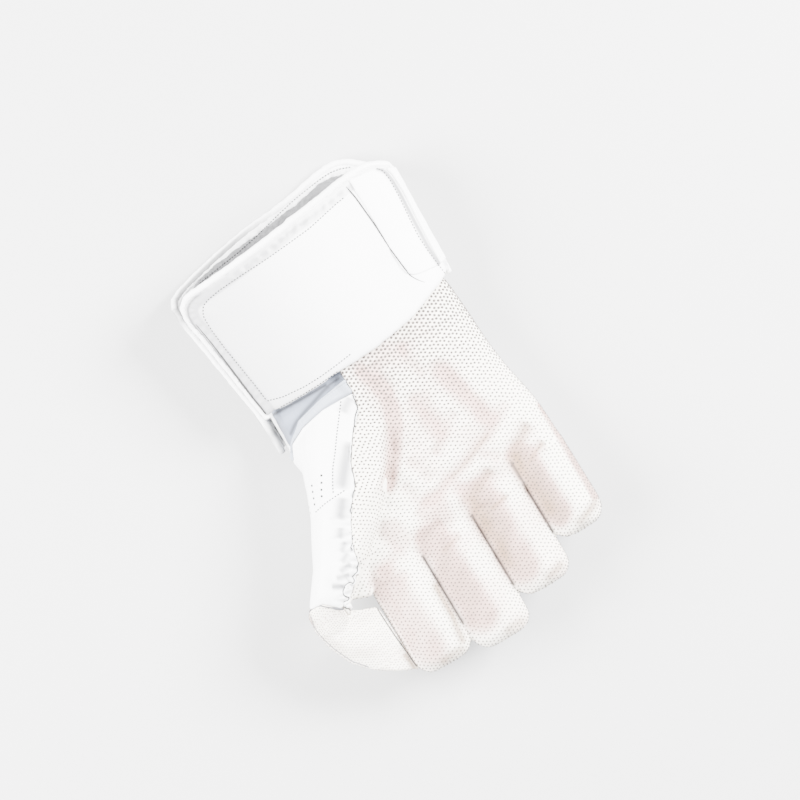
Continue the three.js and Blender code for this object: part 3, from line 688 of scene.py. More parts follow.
def inset_line(tree, edge, inset):
    """A line on the outer skin of a cuff panel, at an even distance from its rolled edge."""
    centre = edge.mean(axis=0)
    tangents = np.gradient(edge, axis=0)
    tangents /= np.linalg.norm(tangents, axis=1, keepdims=True)
    line = []
    normals = []
    for point, tangent in zip(edge, tangents):
        inward = centre - point
        inward -= tangent * (inward @ tangent)
        axis = cuff_axis(Vector(point))
        radial = point - np.array(axis)
        radial[1] = 0.0
        radial /= np.linalg.norm(radial)
        inward -= radial * (inward @ radial)
        inward /= np.linalg.norm(inward)
        target = Vector(point + inward * inset)
        out = Vector(radial)
        hit = tree.ray_cast(target + out * 0.02, -out)
        if hit[0] is None or hit[3] > 0.04:
            continue
        line.append(hit[0])
        normals.append(hit[1])
    return np.array(line), np.array(normals)


# Materials


class Sheet:
    """The nodes of one material."""

    def __init__(self, name):
        self.material = bpy.data.materials.new(name)
        self.material.use_nodes = True
        self.tree = self.material.node_tree
        self.shader = self.tree.nodes["Principled BSDF"]

    def add(self, kind, **values):
        node = self.tree.nodes.new(kind)
        for key, value in values.items():
            if hasattr(node, key):
                setattr(node, key, value)
            else:
                node.inputs[key.replace("_", " ")].default_value = value
        return node

    def group(self, group, **values):
        node = self.tree.nodes.new("ShaderNodeGroup")
        node.node_tree = group
        for key, value in values.items():
            node.inputs[key.replace("_", " ")].default_value = value
        return node

    def link(self, source, target):
        self.tree.links.new(source, target)

    def raise_by(self, group, strength, distance):
        """Lets the height of an effect lift the surface."""
        relief = self.add("ShaderNodeBump", Strength=strength, Distance=distance)
        self.link(group.outputs["Height"], relief.inputs["Height"])
        self.link(relief.outputs["Normal"], self.shader.inputs["Normal"])

    def mix(self, factor, first, second):
        """A colour between two, by a socket or a number."""
        node = self.tree.nodes.new("ShaderNodeMix")
        node.data_type = "RGBA"
        for socket, value in ((node.inputs[0], factor), (node.inputs[6], first), (node.inputs[7], second)):
            if isinstance(value, bpy.types.NodeSocket):
                self.link(value, socket)
            elif isinstance(value, (int, float)):
                socket.default_value = value
            else:
                socket.default_value = (*value, 1.0)
        return node.outputs[2]


def effect_group(name, inputs, outputs):
    """An empty node group with named float sockets, and a vector socket for an output named Normal."""
    tree = bpy.data.node_groups.new(name, "ShaderNodeTree")
    for label, value in inputs.items():
        socket = tree.interface.new_socket(label, in_out="INPUT", socket_type="NodeSocketFloat")
        socket.default_value = value
    for label in outputs:
        kind = "NodeSocketVector" if label == "Normal" else "NodeSocketFloat"
        tree.interface.new_socket(label, in_out="OUTPUT", socket_type=kind)
    return tree, tree.nodes.new("NodeGroupInput"), tree.nodes.new("NodeGroupOutput")


def grain_group():
    """Fine leather or rubber grain: a height with its pores, and a broad mottle, on object coordinates."""
    found = bpy.data.node_groups.get("Grain")
    if found:
        return found
    tree, given, wanted = effect_group("Grain", {"Scale": 1500.0, "Softness": 0.5}, ("Height", "Mottle"))
    place = tree.nodes.new("ShaderNodeTexCoord")
    cells = tree.nodes.new("ShaderNodeTexVoronoi")
    cells.feature = "SMOOTH_F1"
    cloud = tree.nodes.new("ShaderNodeTexNoise")
    cloud.inputs["Scale"].default_value = 55.0
    cloud.inputs["Detail"].default_value = 3.0
    fine = tree.nodes.new("ShaderNodeTexNoise")
    fine.inputs["Detail"].default_value = 2.0
    blend = tree.nodes.new("ShaderNodeMix")
    links = tree.links
    for pattern in (cells, cloud, fine):
        links.new(place.outputs["Object"], pattern.inputs["Vector"])
    for pattern in (cells, fine):
        links.new(given.outputs["Scale"], pattern.inputs["Scale"])
    links.new(given.outputs["Softness"], blend.inputs[0])
    links.new(cells.outputs["Distance"], blend.inputs[2])
    links.new(fine.outputs["Fac"], blend.inputs[3])
    links.new(blend.outputs[0], wanted.inputs["Height"])
    links.new(cloud.outputs["Fac"], wanted.inputs["Mottle"])
    return tree


def weave_group():
    """Over and under threads of a cloth, on object coordinates."""
    found = bpy.data.node_groups.get("Weave")
    if found:
        return found
    tree, given, wanted = effect_group("Weave", {"Threads": 1200.0}, ("Height",))
    place = tree.nodes.new("ShaderNodeTexCoord")
    waves = []
    for direction in ("X", "Y"):
        wave = tree.nodes.new("ShaderNodeTexWave")
        wave.bands_direction = direction
        wave.inputs["Distortion"].default_value = 0.4
        wave.inputs["Detail"].default_value = 1.0
        tree.links.new(place.outputs["Object"], wave.inputs["Vector"])
        tree.links.new(given.outputs["Threads"], wave.inputs["Scale"])
        waves.append(wave)
    higher = tree.nodes.new("ShaderNodeMath")
    higher.operation = "MAXIMUM"
    tree.links.new(waves[0].outputs["Fac"], higher.inputs[0])
    tree.links.new(waves[1].outputs["Fac"], higher.inputs[1])
    tree.links.new(higher.outputs[0], wanted.inputs["Height"])
    return tree


def grained(name, colour, mottle, roughness, scale, bump):
    """A material with fine grain and a bump, whose colour wanders to a multiple of itself."""
    sheet = Sheet(name)
    grain = sheet.group(grain_group(), Scale=scale, Softness=0.5)
    tone = sheet.mix(grain.outputs["Mottle"], colour, [mottle * part for part in colour])
    sheet.link(tone, sheet.shader.inputs["Base Color"])
    sheet.shader.inputs["Roughness"].default_value = roughness
    sheet.raise_by(grain, bump, 0.0002)
    return sheet


def tinted(sheet, attribute, colour):
    """Mixes a colour into a material where a value of the mesh is high."""
    value = sheet.add("ShaderNodeAttribute", attribute_name=attribute)
    plain = sheet.shader.inputs["Base Color"].links[0].from_socket
    tone = sheet.mix(value.outputs["Fac"], plain, tuple(colour))
    sheet.link(tone, sheet.shader.inputs["Base Color"])


def look(name, colour, mottle, roughness, grain, bump, shades=()):
    """A grained material, made once. A shade is a value of the mesh and the colour that it brings in."""
    found = bpy.data.materials.get(name)
    if found:
        return found
    sheet = grained(name, colour, mottle, roughness, grain, bump)
    for attribute, shade in shades:
        tinted(sheet, attribute, shade)
    return sheet.material


def edge_material(name, colour, roughness=0.7):
    return look(name, colour, 1.2, roughness, 3000.0, 0.1)


# Painted shadow: black for the holes and for the thin lines where parts meet
def painted_shadow_material():
    return edge_material("painted_shadow_edge", leather_settings().hole_and_line_shadow_colour, 0.8)


def leather_material():
    leather = leather_settings()
    shades = (("hollow", leather.shade_colour), ("deep", leather.shadow_colour))
    return look("leather_look", leather.leather_colour, 0.965, 0.5, 1400.0, 0.25, shades)


def binding_material():
    leather = leather_settings()
    return look("binding_look", leather.leather_colour, 0.95, 0.45, 1100.0, 0.35, [("deep", leather.shadow_colour)])


def rubber_material():
    hand = settings()
    # Mixed in this order: painted shade, painted shade in the folds, tan with painted shade, and painted shadow in the
    # slits
    shades = (
        ("soft_painted_shade", hand.soft_shade_colour),
        ("hollow", hand.fold_shade_colour),
        ("tan_and_painted_shade", hand.tan_and_shade_colour),
        ("deep", hand.slit_shadow_colour),
    )
    return look("rubber_look", hand.rubber_colour, 0.98, 0.75, 2600.0, 0.2, shades)


# Painted shadow: dark pimples in place of the shadows that they cast
def pimple_material():
    return look("pimple_shadow_look", settings().pimple_shadow_colour, 1.15, 0.7, 900.0, 0.1)


# Painted shadow: stitches dark for their needle holes and grooves
def thread_material():
    return look("stitch_shadow_look", leather_settings().stitch_shade_colour, 1.2, 0.8, 3000.0, 0.3)


def cloth_material(name, colour, threads, bump):
    sheet = grained(name, colour, 0.9, 0.9, 1800.0, 0.2)
    sheet.raise_by(sheet.group(weave_group(), Threads=threads), bump, 0.0003)
    sheet.shader.inputs["Sheen Weight"].default_value = 0.15
    # Painted shadow where the cloth's deep value is high; on the towelling that value makes random darker patches of
    # the pile
    tinted(sheet, "deep", leather_settings().shadow_colour)
    return sheet.material


# Folds of the facing: width and depth in millimetres, lift of the roll beside it, line in shares of the grid
FACING_FOLDS = [
    (5.0, 2.4, 2.0, [
        (-0.19, 0.02), (-0.11, 0.09), (-0.09, 0.15), (-0.14, 0.22), (-0.24, 0.29), (-0.34, 0.35), (-0.5, 0.42),
    ]),
    (5.0, 1.6, 0.3, [(-0.03, 0.03), (-0.02, 0.09), (-0.04, 0.16)]),
    (4.5, 1.5, 0.5, [(0.24, 0.02), (0.25, 0.1), (0.29, 0.16)]),
    (4.5, 1.9, 0.8, [(0.43, 0.14), (0.44, 0.2), (0.5, 0.27), (0.53, 0.33), (0.55, 0.39)]),
    (4.5, 1.4, 0.5, [(0.1, 0.18), (0.12, 0.25), (0.16, 0.3), (0.12, 0.35)]),
    (4.0, 1.8, 0.6, [(0.2, 0.33), (0.12, 0.36), (0.01, 0.39)]),
    (4.0, 1.0, 0.3, [(0.2, 0.34), (0.28, 0.31), (0.37, 0.3)]),
    (4.5, 1.2, 0.4, [(-0.2, 0.35), (-0.13, 0.4), (-0.1, 0.46)]),
    (4.5, 1.1, 0.4, [(-0.33, 0.41), (-0.3, 0.45), (-0.31, 0.49)]),
    (4.5, 1.8, 0.8, [
        (-0.34, 0.505), (-0.15, 0.495), (0.03, 0.475), (0.2, 0.455), (0.35, 0.43), (0.5, 0.413), (0.78, 0.35),
    ]),
    (4.5, 1.4, 0.4, [(0.33, 0.44), (0.4, 0.47), (0.48, 0.5)]),
    (5.0, 1.2, 0.3, [(0.04, 0.48), (0.06, 0.54)]),
    (4.5, 1.2, 0.5, [(-0.34, 0.5), (-0.3, 0.57)]),
    (5.5, 2.0, 0.8, [(-0.47, 0.61), (-0.36, 0.588), (-0.2, 0.585)]),
    (4.5, 1.4, 0.4, [(-0.34, 0.65), (-0.24, 0.64), (-0.12, 0.645)]),
    (5.5, 2.2, 0.9, [(0.06, 0.58), (0.12, 0.55), (0.24, 0.535), (0.38, 0.512)]),
    (4.5, 1.6, 0.5, [(0.1, 0.61), (0.24, 0.612), (0.38, 0.605)]),
    (5.5, 2.2, 0.9, [(0.54, 0.53), (0.6, 0.5), (0.7, 0.478), (0.83, 0.45)]),
    (4.5, 1.6, 0.5, [(0.62, 0.55), (0.74, 0.535), (0.87, 0.525)]),
    (5.5, 1.4, 0.5, [(-0.88, 0.62), (-0.74, 0.6), (-0.58, 0.585)]),
    (4.5, 1.0, 0.3, [(-0.8, 0.67), (-0.64, 0.66)]),
    (1.8, 0.7, 0.3, [(-0.965, 0.65), (-0.96, 0.78), (-0.95, 0.92)]),
    (1.8, 0.6, 0.3, [(-0.9, 0.65), (-0.89, 0.78), (-0.89, 0.9)]),
]

# Strokes of painted shade on the facing, of painted shadow down the slits between the stalls, and of brown painted
# shade and shadow with the tan of the fingertips' edges: strength, width in millimetres, line in shares of the grid
FACING_SHADES = [
    (0.5, 5.5, [(-0.14, 0.03), (-0.06, 0.1), (-0.06, 0.18), (-0.14, 0.25), (-0.26, 0.32), (-0.42, 0.39)]),
    (0.6, 13.0, [(-0.85, 0.65), (-0.85, 0.78), (-0.84, 0.9)]),
    (0.95, 12.5, [(-0.35, 0.61), (-0.35, 0.75), (-0.33, 0.9)]),
    (1.0, 12.5, [(0.15, 0.57), (0.16, 0.7), (0.16, 0.83)]),
    (1.1, 10.0, [(0.63, 0.53), (0.63, 0.64), (0.64, 0.74)]),
    (0.8, 3.0, [(0.995, 0.42), (0.985, 0.6), (0.975, 0.76)]),
    (0.2, 8.0, [(-0.05, 0.03), (0.12, 0.03), (0.3, 0.04)]),
    (0.45, 11.0, [(-0.2, 0.52), (-0.22, 0.57)]),
    (0.4, 9.0, [(0.13, 0.22), (0.15, 0.32)]),
    (0.4, 8.0, [(0.42, 0.16), (0.49, 0.28), (0.56, 0.37)]),
    (0.45, 9.0, [(-0.6, 0.52), (-0.58, 0.56)]),
]
FACING_SLITS = [
    (1.0, 1.3, [(-0.488, 0.64), (-0.488, 0.75), (-0.488, 0.89)]),
    (1.0, 1.1, [(0.03, 0.61), (0.03, 0.75), (0.03, 0.87)]),
    (1.0, 1.1, [(0.53, 0.53), (0.53, 0.65), (0.53, 0.79)]),
]
FACING_TAN_AND_SHADOWS = [
    (0.8, 6.5, [(0.09, 0.57), (0.08, 0.68), (0.1, 0.8)]),
    (0.9, 6.0, [(0.58, 0.52), (0.57, 0.62), (0.6, 0.72)]),
    (0.5, 4.0, [(0.14, 0.55), (0.26, 0.535), (0.36, 0.515)]),
    (0.6, 4.0, [(0.6, 0.5), (0.7, 0.475), (0.8, 0.455)]),
    (0.9, 3.0, [(-0.525, 0.74), (-0.53, 0.85), (-0.57, 0.935)]),
    (0.7, 3.5, [(-0.78, 0.958), (-0.6, 0.95)]),
    (0.6, 3.5, [(-0.2, 0.975), (-0.06, 0.972)]),
    (0.6, 3.5, [(0.3, 0.9), (0.46, 0.885)]),
    (0.8, 3.5, [(0.76, 0.8), (0.95, 0.775)]),
    (0.2, 3.0, [(-0.28, 0.31), (-0.4, 0.37), (-0.5, 0.41)]),
    (0.6, 1.6, [(0.2, 0.622), (0.37, 0.612)]),
    (0.5, 1.6, [(-0.32, 0.658), (-0.15, 0.643)]),
    (0.6, 1.6, [(0.64, 0.56), (0.75, 0.538), (0.85, 0.527)]),
    (0.45, 1.6, [(0.05, 0.472), (0.25, 0.45), (0.48, 0.415)]),
]

# Soft folds of the thumb's leather, in the same columns as the facing's, and lines in shares of the grid
THUMB_FOLDS = [
    (3.5, 1.0, 0.5, [(-0.33, 0.09), (-0.39, 0.105), (-0.46, 0.125)]),
    (4.5, 1.3, 0.8, [(-0.52, 0.21), (-0.64, 0.262), (-0.79, 0.33)]),
    (4.0, 1.2, 0.7, [(-0.8, 0.352), (-0.86, 0.38), (-0.93, 0.415)]),
    (3.0, 1.0, 0.5, [(-0.94, 0.43), (-1.0, 0.46)]),
    (2.2, 0.9, 0.4, [(-0.97, 0.475), (-1.05, 0.5)]),
    (2.2, 0.9, 0.4, [(-1.0, 0.51), (-1.1, 0.53)]),
    (2.2, 1.0, 0.4, [(-1.02, 0.545), (-1.16, 0.55)]),
    (2.2, 1.0, 0.4, [(-1.08, 0.575), (-1.2, 0.56)]),
    (2.2, 1.0, 0.4, [(-1.16, 0.6), (-1.26, 0.575)]),
]
THUMB_SEAM = [
    (-0.3, 0.088), (-0.32, 0.13), (-0.466, 0.193), (-0.606, 0.273), (-0.664, 0.336), (-0.771, 0.384),
    (-0.853, 0.432), (-0.935, 0.495), (-0.976, 0.559), (-1.05, 0.582), (-1.1, 0.602), (-1.16, 0.59),
    (-1.19, 0.607), (-1.175, 0.63), (-1.235, 0.642), (-1.225, 0.668),
]
THUMB_STITCHES = [(-0.4, 0.08), (-0.5, 0.13), (-0.6, 0.18), (-0.66, 0.213), (-0.75, 0.255), (-0.82, 0.3), (-0.86, 0.33)]
THUMB_JOIN = [(-1.06, 0.346), (-0.95, 0.338), (-0.85, 0.336), (-0.74, 0.334)]
AIR_HOLES = [
    (-0.86, 0.256), (-0.89, 0.276), (-0.92, 0.295), (-0.945, 0.313),
    (-0.97, 0.268), (-0.99, 0.286), (-1.01, 0.305), (-1.03, 0.323),
    (-1.07, 0.301), (-1.08, 0.32), (-1.095, 0.339),
]
# Painted shadow lines: in the gap beside the front binding and along the overlay's left edge
FRONT_GAP_SHADOW = [(-1.105, -0.36), (-1.073, -0.28), (-1.045, -0.18), (-1.018, -0.08), (-0.99, 0.0)]
OVERLAY_EDGE = [
    (0.53, -0.485), (0.55, -0.44), (0.57, -0.34), (0.58, -0.24), (0.59, -0.19), (0.605, -0.142), (0.64, -0.118),
    (0.68, -0.1),
]
SIDE_ROLL = [(0.84, -0.492), (0.89, -0.48), (0.915, -0.45), (0.92, -0.38), (0.9, -0.28), (0.885, -0.18), (0.88, -0.1)]
# Painted shade: a grey band beside the side roll's stitches
STRIP_SHADES = [
    (0.9, 1.7, [
        (0.83, -0.485), (0.87, -0.47), (0.885, -0.43), (0.883, -0.38), (0.868, -0.3), (0.855, -0.2), (0.862, -0.09),
    ]),
]
FRONT_STITCHES = [
    [
        (-0.93, -0.04), (-0.95, -0.108), (-0.98, -0.188), (-1.0, -0.238), (-1.02, -0.318), (-1.02, -0.368),
        (-0.98, -0.395), (-0.92, -0.404), (-0.8, -0.411), (-0.6, -0.415), (-0.4, -0.417), (-0.3, -0.419),
        (-0.1, -0.425), (0.1, -0.432), (0.2, -0.44), (0.3, -0.448), (0.4, -0.456), (0.46, -0.459),
    ],
    [
        (0.82, -0.49), (0.855, -0.475), (0.87, -0.44), (0.865, -0.38), (0.845, -0.3), (0.832, -0.24), (0.838, -0.18),
        (0.865, -0.09),
    ],
    [(-0.93, -0.036), (-0.8, -0.02), (-0.6, -0.012), (-0.45, -0.013), (-0.3, -0.018), (-0.15, -0.025)],
    [(-0.93, 0.002), (-0.7, 0.006), (-0.5, 0.006), (-0.3, 0.0)],
]
BACK_STITCHES = [
    (-1.1, -0.435), (-1.05, -0.458), (-0.9, -0.478), (-0.7, -0.49), (-0.5, -0.5), (-0.3, -0.515), (-0.1, -0.535),
    (0.1, -0.552), (0.2, -0.558), (0.3, -0.563), (0.4, -0.567), (0.5, -0.568), (0.58, -0.562), (0.66, -0.549),
]

# Shares of the hand's reach, across the hand: how far the cuff's open edges sag and the lining stands up
FRONT_SAG = [
    (-1.3, 0.0), (-1.15, 0.014), (-0.95, 0.022), (-0.6, 0.02), (-0.3, 0.013), (0.0, 0.002), (0.5, 0.0), (0.7, 0.01),
    (0.8, 0.018), (0.9, 0.034), (1.0, 0.046),
]
BACK_SAG = [
    (-1.3, 0.0), (-1.1, 0.008), (-0.8, 0.006), (-0.4, 0.0), (0.65, 0.0), (0.75, 0.006), (0.85, 0.018), (1.0, 0.034),
]
LINING_RISE = [
    (-1.1, 0.03), (-1.0, 0.046), (-0.9, 0.05), (-0.7, 0.048), (-0.5, 0.042), (-0.3, 0.038), (0.0, 0.043), (0.2, 0.04),
    (0.38, 0.04), (0.5, 0.03), (0.62, 0.026), (0.75, 0.0),
]
BAND_EDGE = [(-1.0, 0.15), (-0.9, 0.105), (-0.75, 0.075), (-0.5, 0.05), (-0.28, 0.045)]
# Painted shade along the band's edge and in a fold
BAND_SHADES = [
    (0.4, 1.3, [(-0.97, 0.14), (-0.9, 0.117), (-0.8, 0.1), (-0.65, 0.083), (-0.5, 0.075), (-0.32, 0.077)]),
    (0.25, 2.5, [(-0.36, 0.04), (-0.34, 0.07)]),
]
# Painted shade at the gusset's left end and along its folds and edges
GUSSET_SHADES = [
    (0.95, 2.6, [(-0.98, 0.015), (-0.965, 0.04), (-0.975, 0.065)]),
    (0.5, 5.0, [(-0.97, 0.03), (-0.96, 0.09), (-0.98, 0.13)]),
    (0.8, 1.6, [(-0.9, 0.09), (-0.82, 0.068), (-0.7, 0.052), (-0.6, 0.042), (-0.5, 0.028), (-0.44, 0.024)]),
    (0.8, 1.0, [(-0.45, 0.022), (-0.33, 0.019)]),
    (0.9, 1.3, [(-0.97, 0.008), (-0.7, 0.014), (-0.45, 0.016)]),
]

# Radii of laid edges: shares of their length and millimetres
HOOD_RADII = ((0, 0.45), (0.6, 0.5), (0.75, 1.0), (1, 0.7))
OVERLAY_RADII = ((0, 0.2), (0.06, 0.55), (0.8, 0.5), (1, 0.15))
GAP_RADII = ((0, 0.2), (0.3, 0.5), (0.6, 0.85), (1, 0.7))

# Edges of the thumb's hood and of the web, and darker strokes on the web: a darker mark at the hood's tip and a painted
# shadow along the index's side
HOOD_EDGE = [(-1.55, 0.612), (-1.5, 0.603), (-1.42, 0.605), (-1.36, 0.625), (-1.3, 0.645), (-1.27, 0.655)]
WEB_DARK_STROKES = [(0.9, 3.0, [(-1.56, 0.615), (-1.565, 0.65)]), (0.8, 2.0, [(-1.03, 0.88), (-1.02, 0.935)])]
WEB_INDEX_EDGE = [(-1.03, 0.707), (-1.022, 0.8), (-1.008, 0.87), (-0.998, 0.93)]
WEB_FREE_EDGE = [(-1.525, 0.618), (-1.55, 0.66), (-1.535, 0.7), (-1.505, 0.742), (-1.43, 0.808), (-1.33, 0.853)]


class GLOVE_OT_facing(Operator):
    """The pimpled rubber facing of the palm, the finger fronts and the strip beside the thumb"""

    bl_idname = "glove.facing"
    bl_label = "Palm facing"

    def execute(self, context):
        beside = [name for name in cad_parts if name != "palm_facing" and "binding" not in name]
        obj = softened("palm_facing_rubber", "palm_facing", 0.00125, 26, beside, rim=0.005, swell=0.0004)
        mesh = obj.data
        points, normals = points_of(mesh), normals_of(mesh)
        columns = np.array(stall_columns())
        edges = columns[:-1, 2]
        low_side, crown, high_side = columns[np.searchsorted(edges, points[:, 0])].T
        from_core = points - np.stack([crown, points[:, 1], np.full(len(points), SEAM_HEIGHT)], axis=1)
        outside = (np.sum(from_core * normals, axis=1) > 0) & (normals[:, 2] > -0.6)
        upward = np.clip(normals[:, 2] * 1.6, 0.0, 1.0) * outside
        lift, press = folds(points, FACING_FOLDS)
        uneven = 0.45 * MM * ripple(points, 0.028, 3) + 0.25 * MM * ripple(points, 0.012, 5)
        # each stall is flattened on its left and has its ridge right of its middle
        share = (points[:, 0] - low_side) / (high_side - low_side)
        lean = np.interp(share, STALL_SHARES, STALL_RISE) * MM
        stall = over_reach(points, 0.54, 0.7)
        points[:, 2] += upward * (lift - press + uneven + lean * stall)
        set_points(mesh, points)
        # The soft painted shade: the shade strokes and the folds' depth, with a broad pink cloud over the palm
        cloud = 0.06 + 0.26 * eased(ripple(points, 0.03, 7), -0.4, 1.0)
        cloud *= over_width(points, -0.3, -0.1) * over_width(points, 0.7, 0.4)
        strokes = tints(points, FACING_SHADES, steepness=4)
        patchiness = 0.85 + 0.15 * ripple(points, 0.016, 9)
        set_values(mesh, "soft_painted_shade", np.clip((1.5 * strokes + press / (3 * MM)) * patchiness + cloud, 0.0, 1.0) * outside)
        # Painted shade: darker by the folds' depth and along the shade strokes
        shade = np.maximum(strokes, press / (4 * MM))
        set_values(mesh, "hollow", np.clip(shade * patchiness, 0.0, 1.0) * outside)
        # Painted shade and shadow in brown, with the tan of the fingertips' edges
        set_values(mesh, "tan_and_painted_shade", np.clip(tints(points, FACING_TAN_AND_SHADOWS) * patchiness, 0.0, 1.0) * outside)
        # Painted shadow down the slits between the stalls
        set_values(mesh, "deep", tints(points, FACING_SLITS))
        low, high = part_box("palm_facing")
        unrolled = Unrolled(tree_of(obj), low, high)
        crown = np.where(points[:, 1] > spot(0, 0.55)[1], MIDDLE, crown)
        nubs = pimples("palm_facing_pimples", obj, unrolled.flat(points, normals_of(mesh), crown), outside)
        finished(nubs, "facing_rubber", pimple_material())
        finished(obj, "facing_rubber", rubber_material(), "palm_facing")
        return {"FINISHED"}


class GLOVE_OT_web(Operator):
    """The pimpled rubber over the thumb's tip and the web beside it"""

    bl_idname = "glove.web"
    bl_label = "Thumb web"

    def execute(self, context):
        obj = softened("thumb_web_rubber", "thumb_web", 0.0008, 14, ["thumb_leather", "palm_facing"], rim=0.004)
        mesh = obj.data
        points, normals = points_of(mesh), normals_of(mesh)
        outside = normals[:, 2] > -0.1
        points[:, 2] += np.clip(normals[:, 2], 0.0, 1.0) * 0.4 * MM * ripple(points, 0.02, 21)
        points[:, 0] += 1.1 * MM * over_width(points, -1.09, -1.03) * over_reach(points, 0.7, 0.72)
        set_points(mesh, points)
        set_values(mesh, "hollow", 0.2 * np.clip(ripple(points, 0.02, 11), 0, 1))
        # A darker mark at the hood's tip and painted shadow along the index's side
        set_values(mesh, "tan_and_painted_shade", tints(points, WEB_DARK_STROKES))
        low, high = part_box("thumb_web")
        tree = tree_of(obj)
        crown = np.full(len(points), (low.x + high.x) / 2)
        flat = Unrolled(tree, low, high).flat(points, normals, crown)
        nubs = pimples("thumb_web_pimples", obj, flat, outside, fineness=0.7)
        # Painted shadow: the web's finer pimples, in a paler dark
        pale = [3.2 * part for part in settings().pimple_shadow_colour]
        finished(nubs, "facing_rubber", edge_material("web_pimple_shadow_look", pale))
        # Painted shadow: a black line where the web meets the index, and a grey line along the web's free edge
        pale = [8 * part for part in leather_settings().stitch_shade_colour]
        edging("thumb_web_seam_shadow", "facing_rubber", painted_shadow_material(), tree, WEB_INDEX_EDGE, [(0, 0.4)])
        edging("thumb_web_rim_shadow", "facing_rubber", edge_material("pale_edge_shadow", pale), tree, WEB_FREE_EDGE, [(0, 0.4)])
        finished(obj, "facing_rubber", rubber_material(), "thumb_web")
        return {"FINISHED"}


class GLOVE_OT_thumb(Operator):
    """The white leather of the thumb, with its gathers, folds, seams and air holes"""

    bl_idname = "glove.thumb"
    bl_label = "Thumb leather"

    def execute(self, context):
        beside = ["palm_facing", "thumb_web", "wrist_band", "hand_back", "wrist_gusset"]
        obj = softened("thumb_leather_piece", "thumb_leather", 0.0008, 30, beside, rim=0.004, swell=0.0003)
        mesh = obj.data
        points, normals = points_of(mesh), normals_of(mesh)
        top = np.clip(normals[:, 2] * 2, 0.0, 1.0)
        lift, press = folds(points, THUMB_FOLDS)
        seam = plan_line(THUMB_SEAM)
        distance, _, share = beside_line(points[:, :2], seam)
        length = np.linalg.norm(np.diff(seam, axis=0), axis=1).sum()
        gather = np.sin(share * length * 2 * math.pi / GATHER_PITCH + 1.5 * ripple(points, 0.02, 31))
        gather *= bell(distance, 0, 8 * MM) * eased(share, 0.4, 0.7)
        groove = bell(distance, 1.2 * MM, MM) * 0.35 * MM
        uneven = 0.35 * MM * ripple(points, 0.03, 33)
        rise = 1.4 * (lift - press) + 0.45 * MM * gather - groove + uneven
        set_points(mesh, points + normals * (rise * top)[:, None])
        # Painted shade: grey in the folds and between the gathers
        shade = press / (1.2 * MM) + 0.55 * np.clip(-gather, 0, 1)
        set_values(mesh, "hollow", np.clip(shade, 0.0, 1.0) * top)
        tree = tree_of(obj)
        self.holes(tree)
        grey = edge_material("grey_edge", [4 * part for part in leather_settings().stitch_shade_colour])
        web_tree = tree_of(obj, bpy.data.objects["thumb_web_rubber"])
        edging("thumb_hood_edge", "white_leather", grey, web_tree, HOOD_EDGE, HOOD_RADII, rise=0.2 * MM)
        stitched("thumb_stitches", "white_leather", [laid_line(tree, THUMB_STITCHES), laid_line(tree, THUMB_JOIN)])
        self.ruffle(tree_of(obj, bpy.data.objects["palm_facing_rubber"]))
        finished(obj, "white_leather", leather_material(), "thumb_leather")
        return {"FINISHED"}

    def ruffle(self, tree):
        """The gathered edge of the leather over the rubber, with a thin painted shadow line under it."""
        spacing = 0.6 * MM
        line, normals = laid_line(tree, THUMB_SEAM, spacing)
        way = np.arange(len(line)) * spacing
        tangents = np.gradient(line, axis=0)
        aside = np.cross(tangents, normals)
        aside /= np.linalg.norm(aside, axis=1, keepdims=True)
        grow = eased(way / way[-1], 0.25, 0.55)
        wander = 0.8 * np.sin(way * 2 * math.pi / (31 * MM))
        wave = np.sin(way * 2 * math.pi / RUFFLE_PITCH + wander)
        sway = (0.2 + 1.2 * grow) * MM * wave
        edge_line = line - aside * (sway + 0.4 * MM)[:, None] + normals * 0.15 * MM
        knot = 0.8 * eased(way / way[-1], 0.93, 0.97)
        radius = (0.5 + 0.22 * grow * (1 + wave) + knot) * MM
        edge = cord("thumb_leather_edge", edge_line, radius)
        finished(edge, "white_leather", leather_material())
        # Painted shadow: a thin black line under the gathered edge
        under_line = edge_line + aside * (radius + 0.3 * MM)[:, None] + normals * 0.1 * MM
        under = cord("thumb_edge_shadow_line", under_line, 0.42 * MM)
        finished(under, "white_leather", painted_shadow_material())

    def holes(self, tree):
        points, ups = skin_below(tree, [spot(*share) for share in AIR_HOLES])

        # Painted shadow: black discs for the shade inside the air holes
        def disc(form):
            bmesh.ops.create_cone(form, cap_ends=True, segments=12, radius1=0.9 * MM, radius2=0.85 * MM, depth=0.2 * MM)

        alongs = np.tile([1.0, 0.0, 0.0], (len(points), 1))
        holes = copies("thumb_air_holes", shaped(disc), upright_places(points, ups, alongs))
        finished(holes, "white_leather", painted_shadow_material())


class GLOVE_OT_back(Operator):
    """The padded leather of the back of the hand and of the finger backs"""

    bl_idname = "glove.back"
    bl_label = "Hand back"

    def execute(self, context):
        back_names = ["finger_back_" + name for name in STALLS]
        obj = softened("hand_back_leather", "hand_back", 0.0017, 20, ["palm_facing", "thumb_leather", *back_names])
        finished(obj, "white_leather", leather_material(), "hand_back")
        for name in back_names:
            piece = softened(name + "_leather", name, 0.0015, 20, ["palm_facing", "hand_back"])
            finished(piece, "white_leather", leather_material(), name)
        return {"FINISHED"}


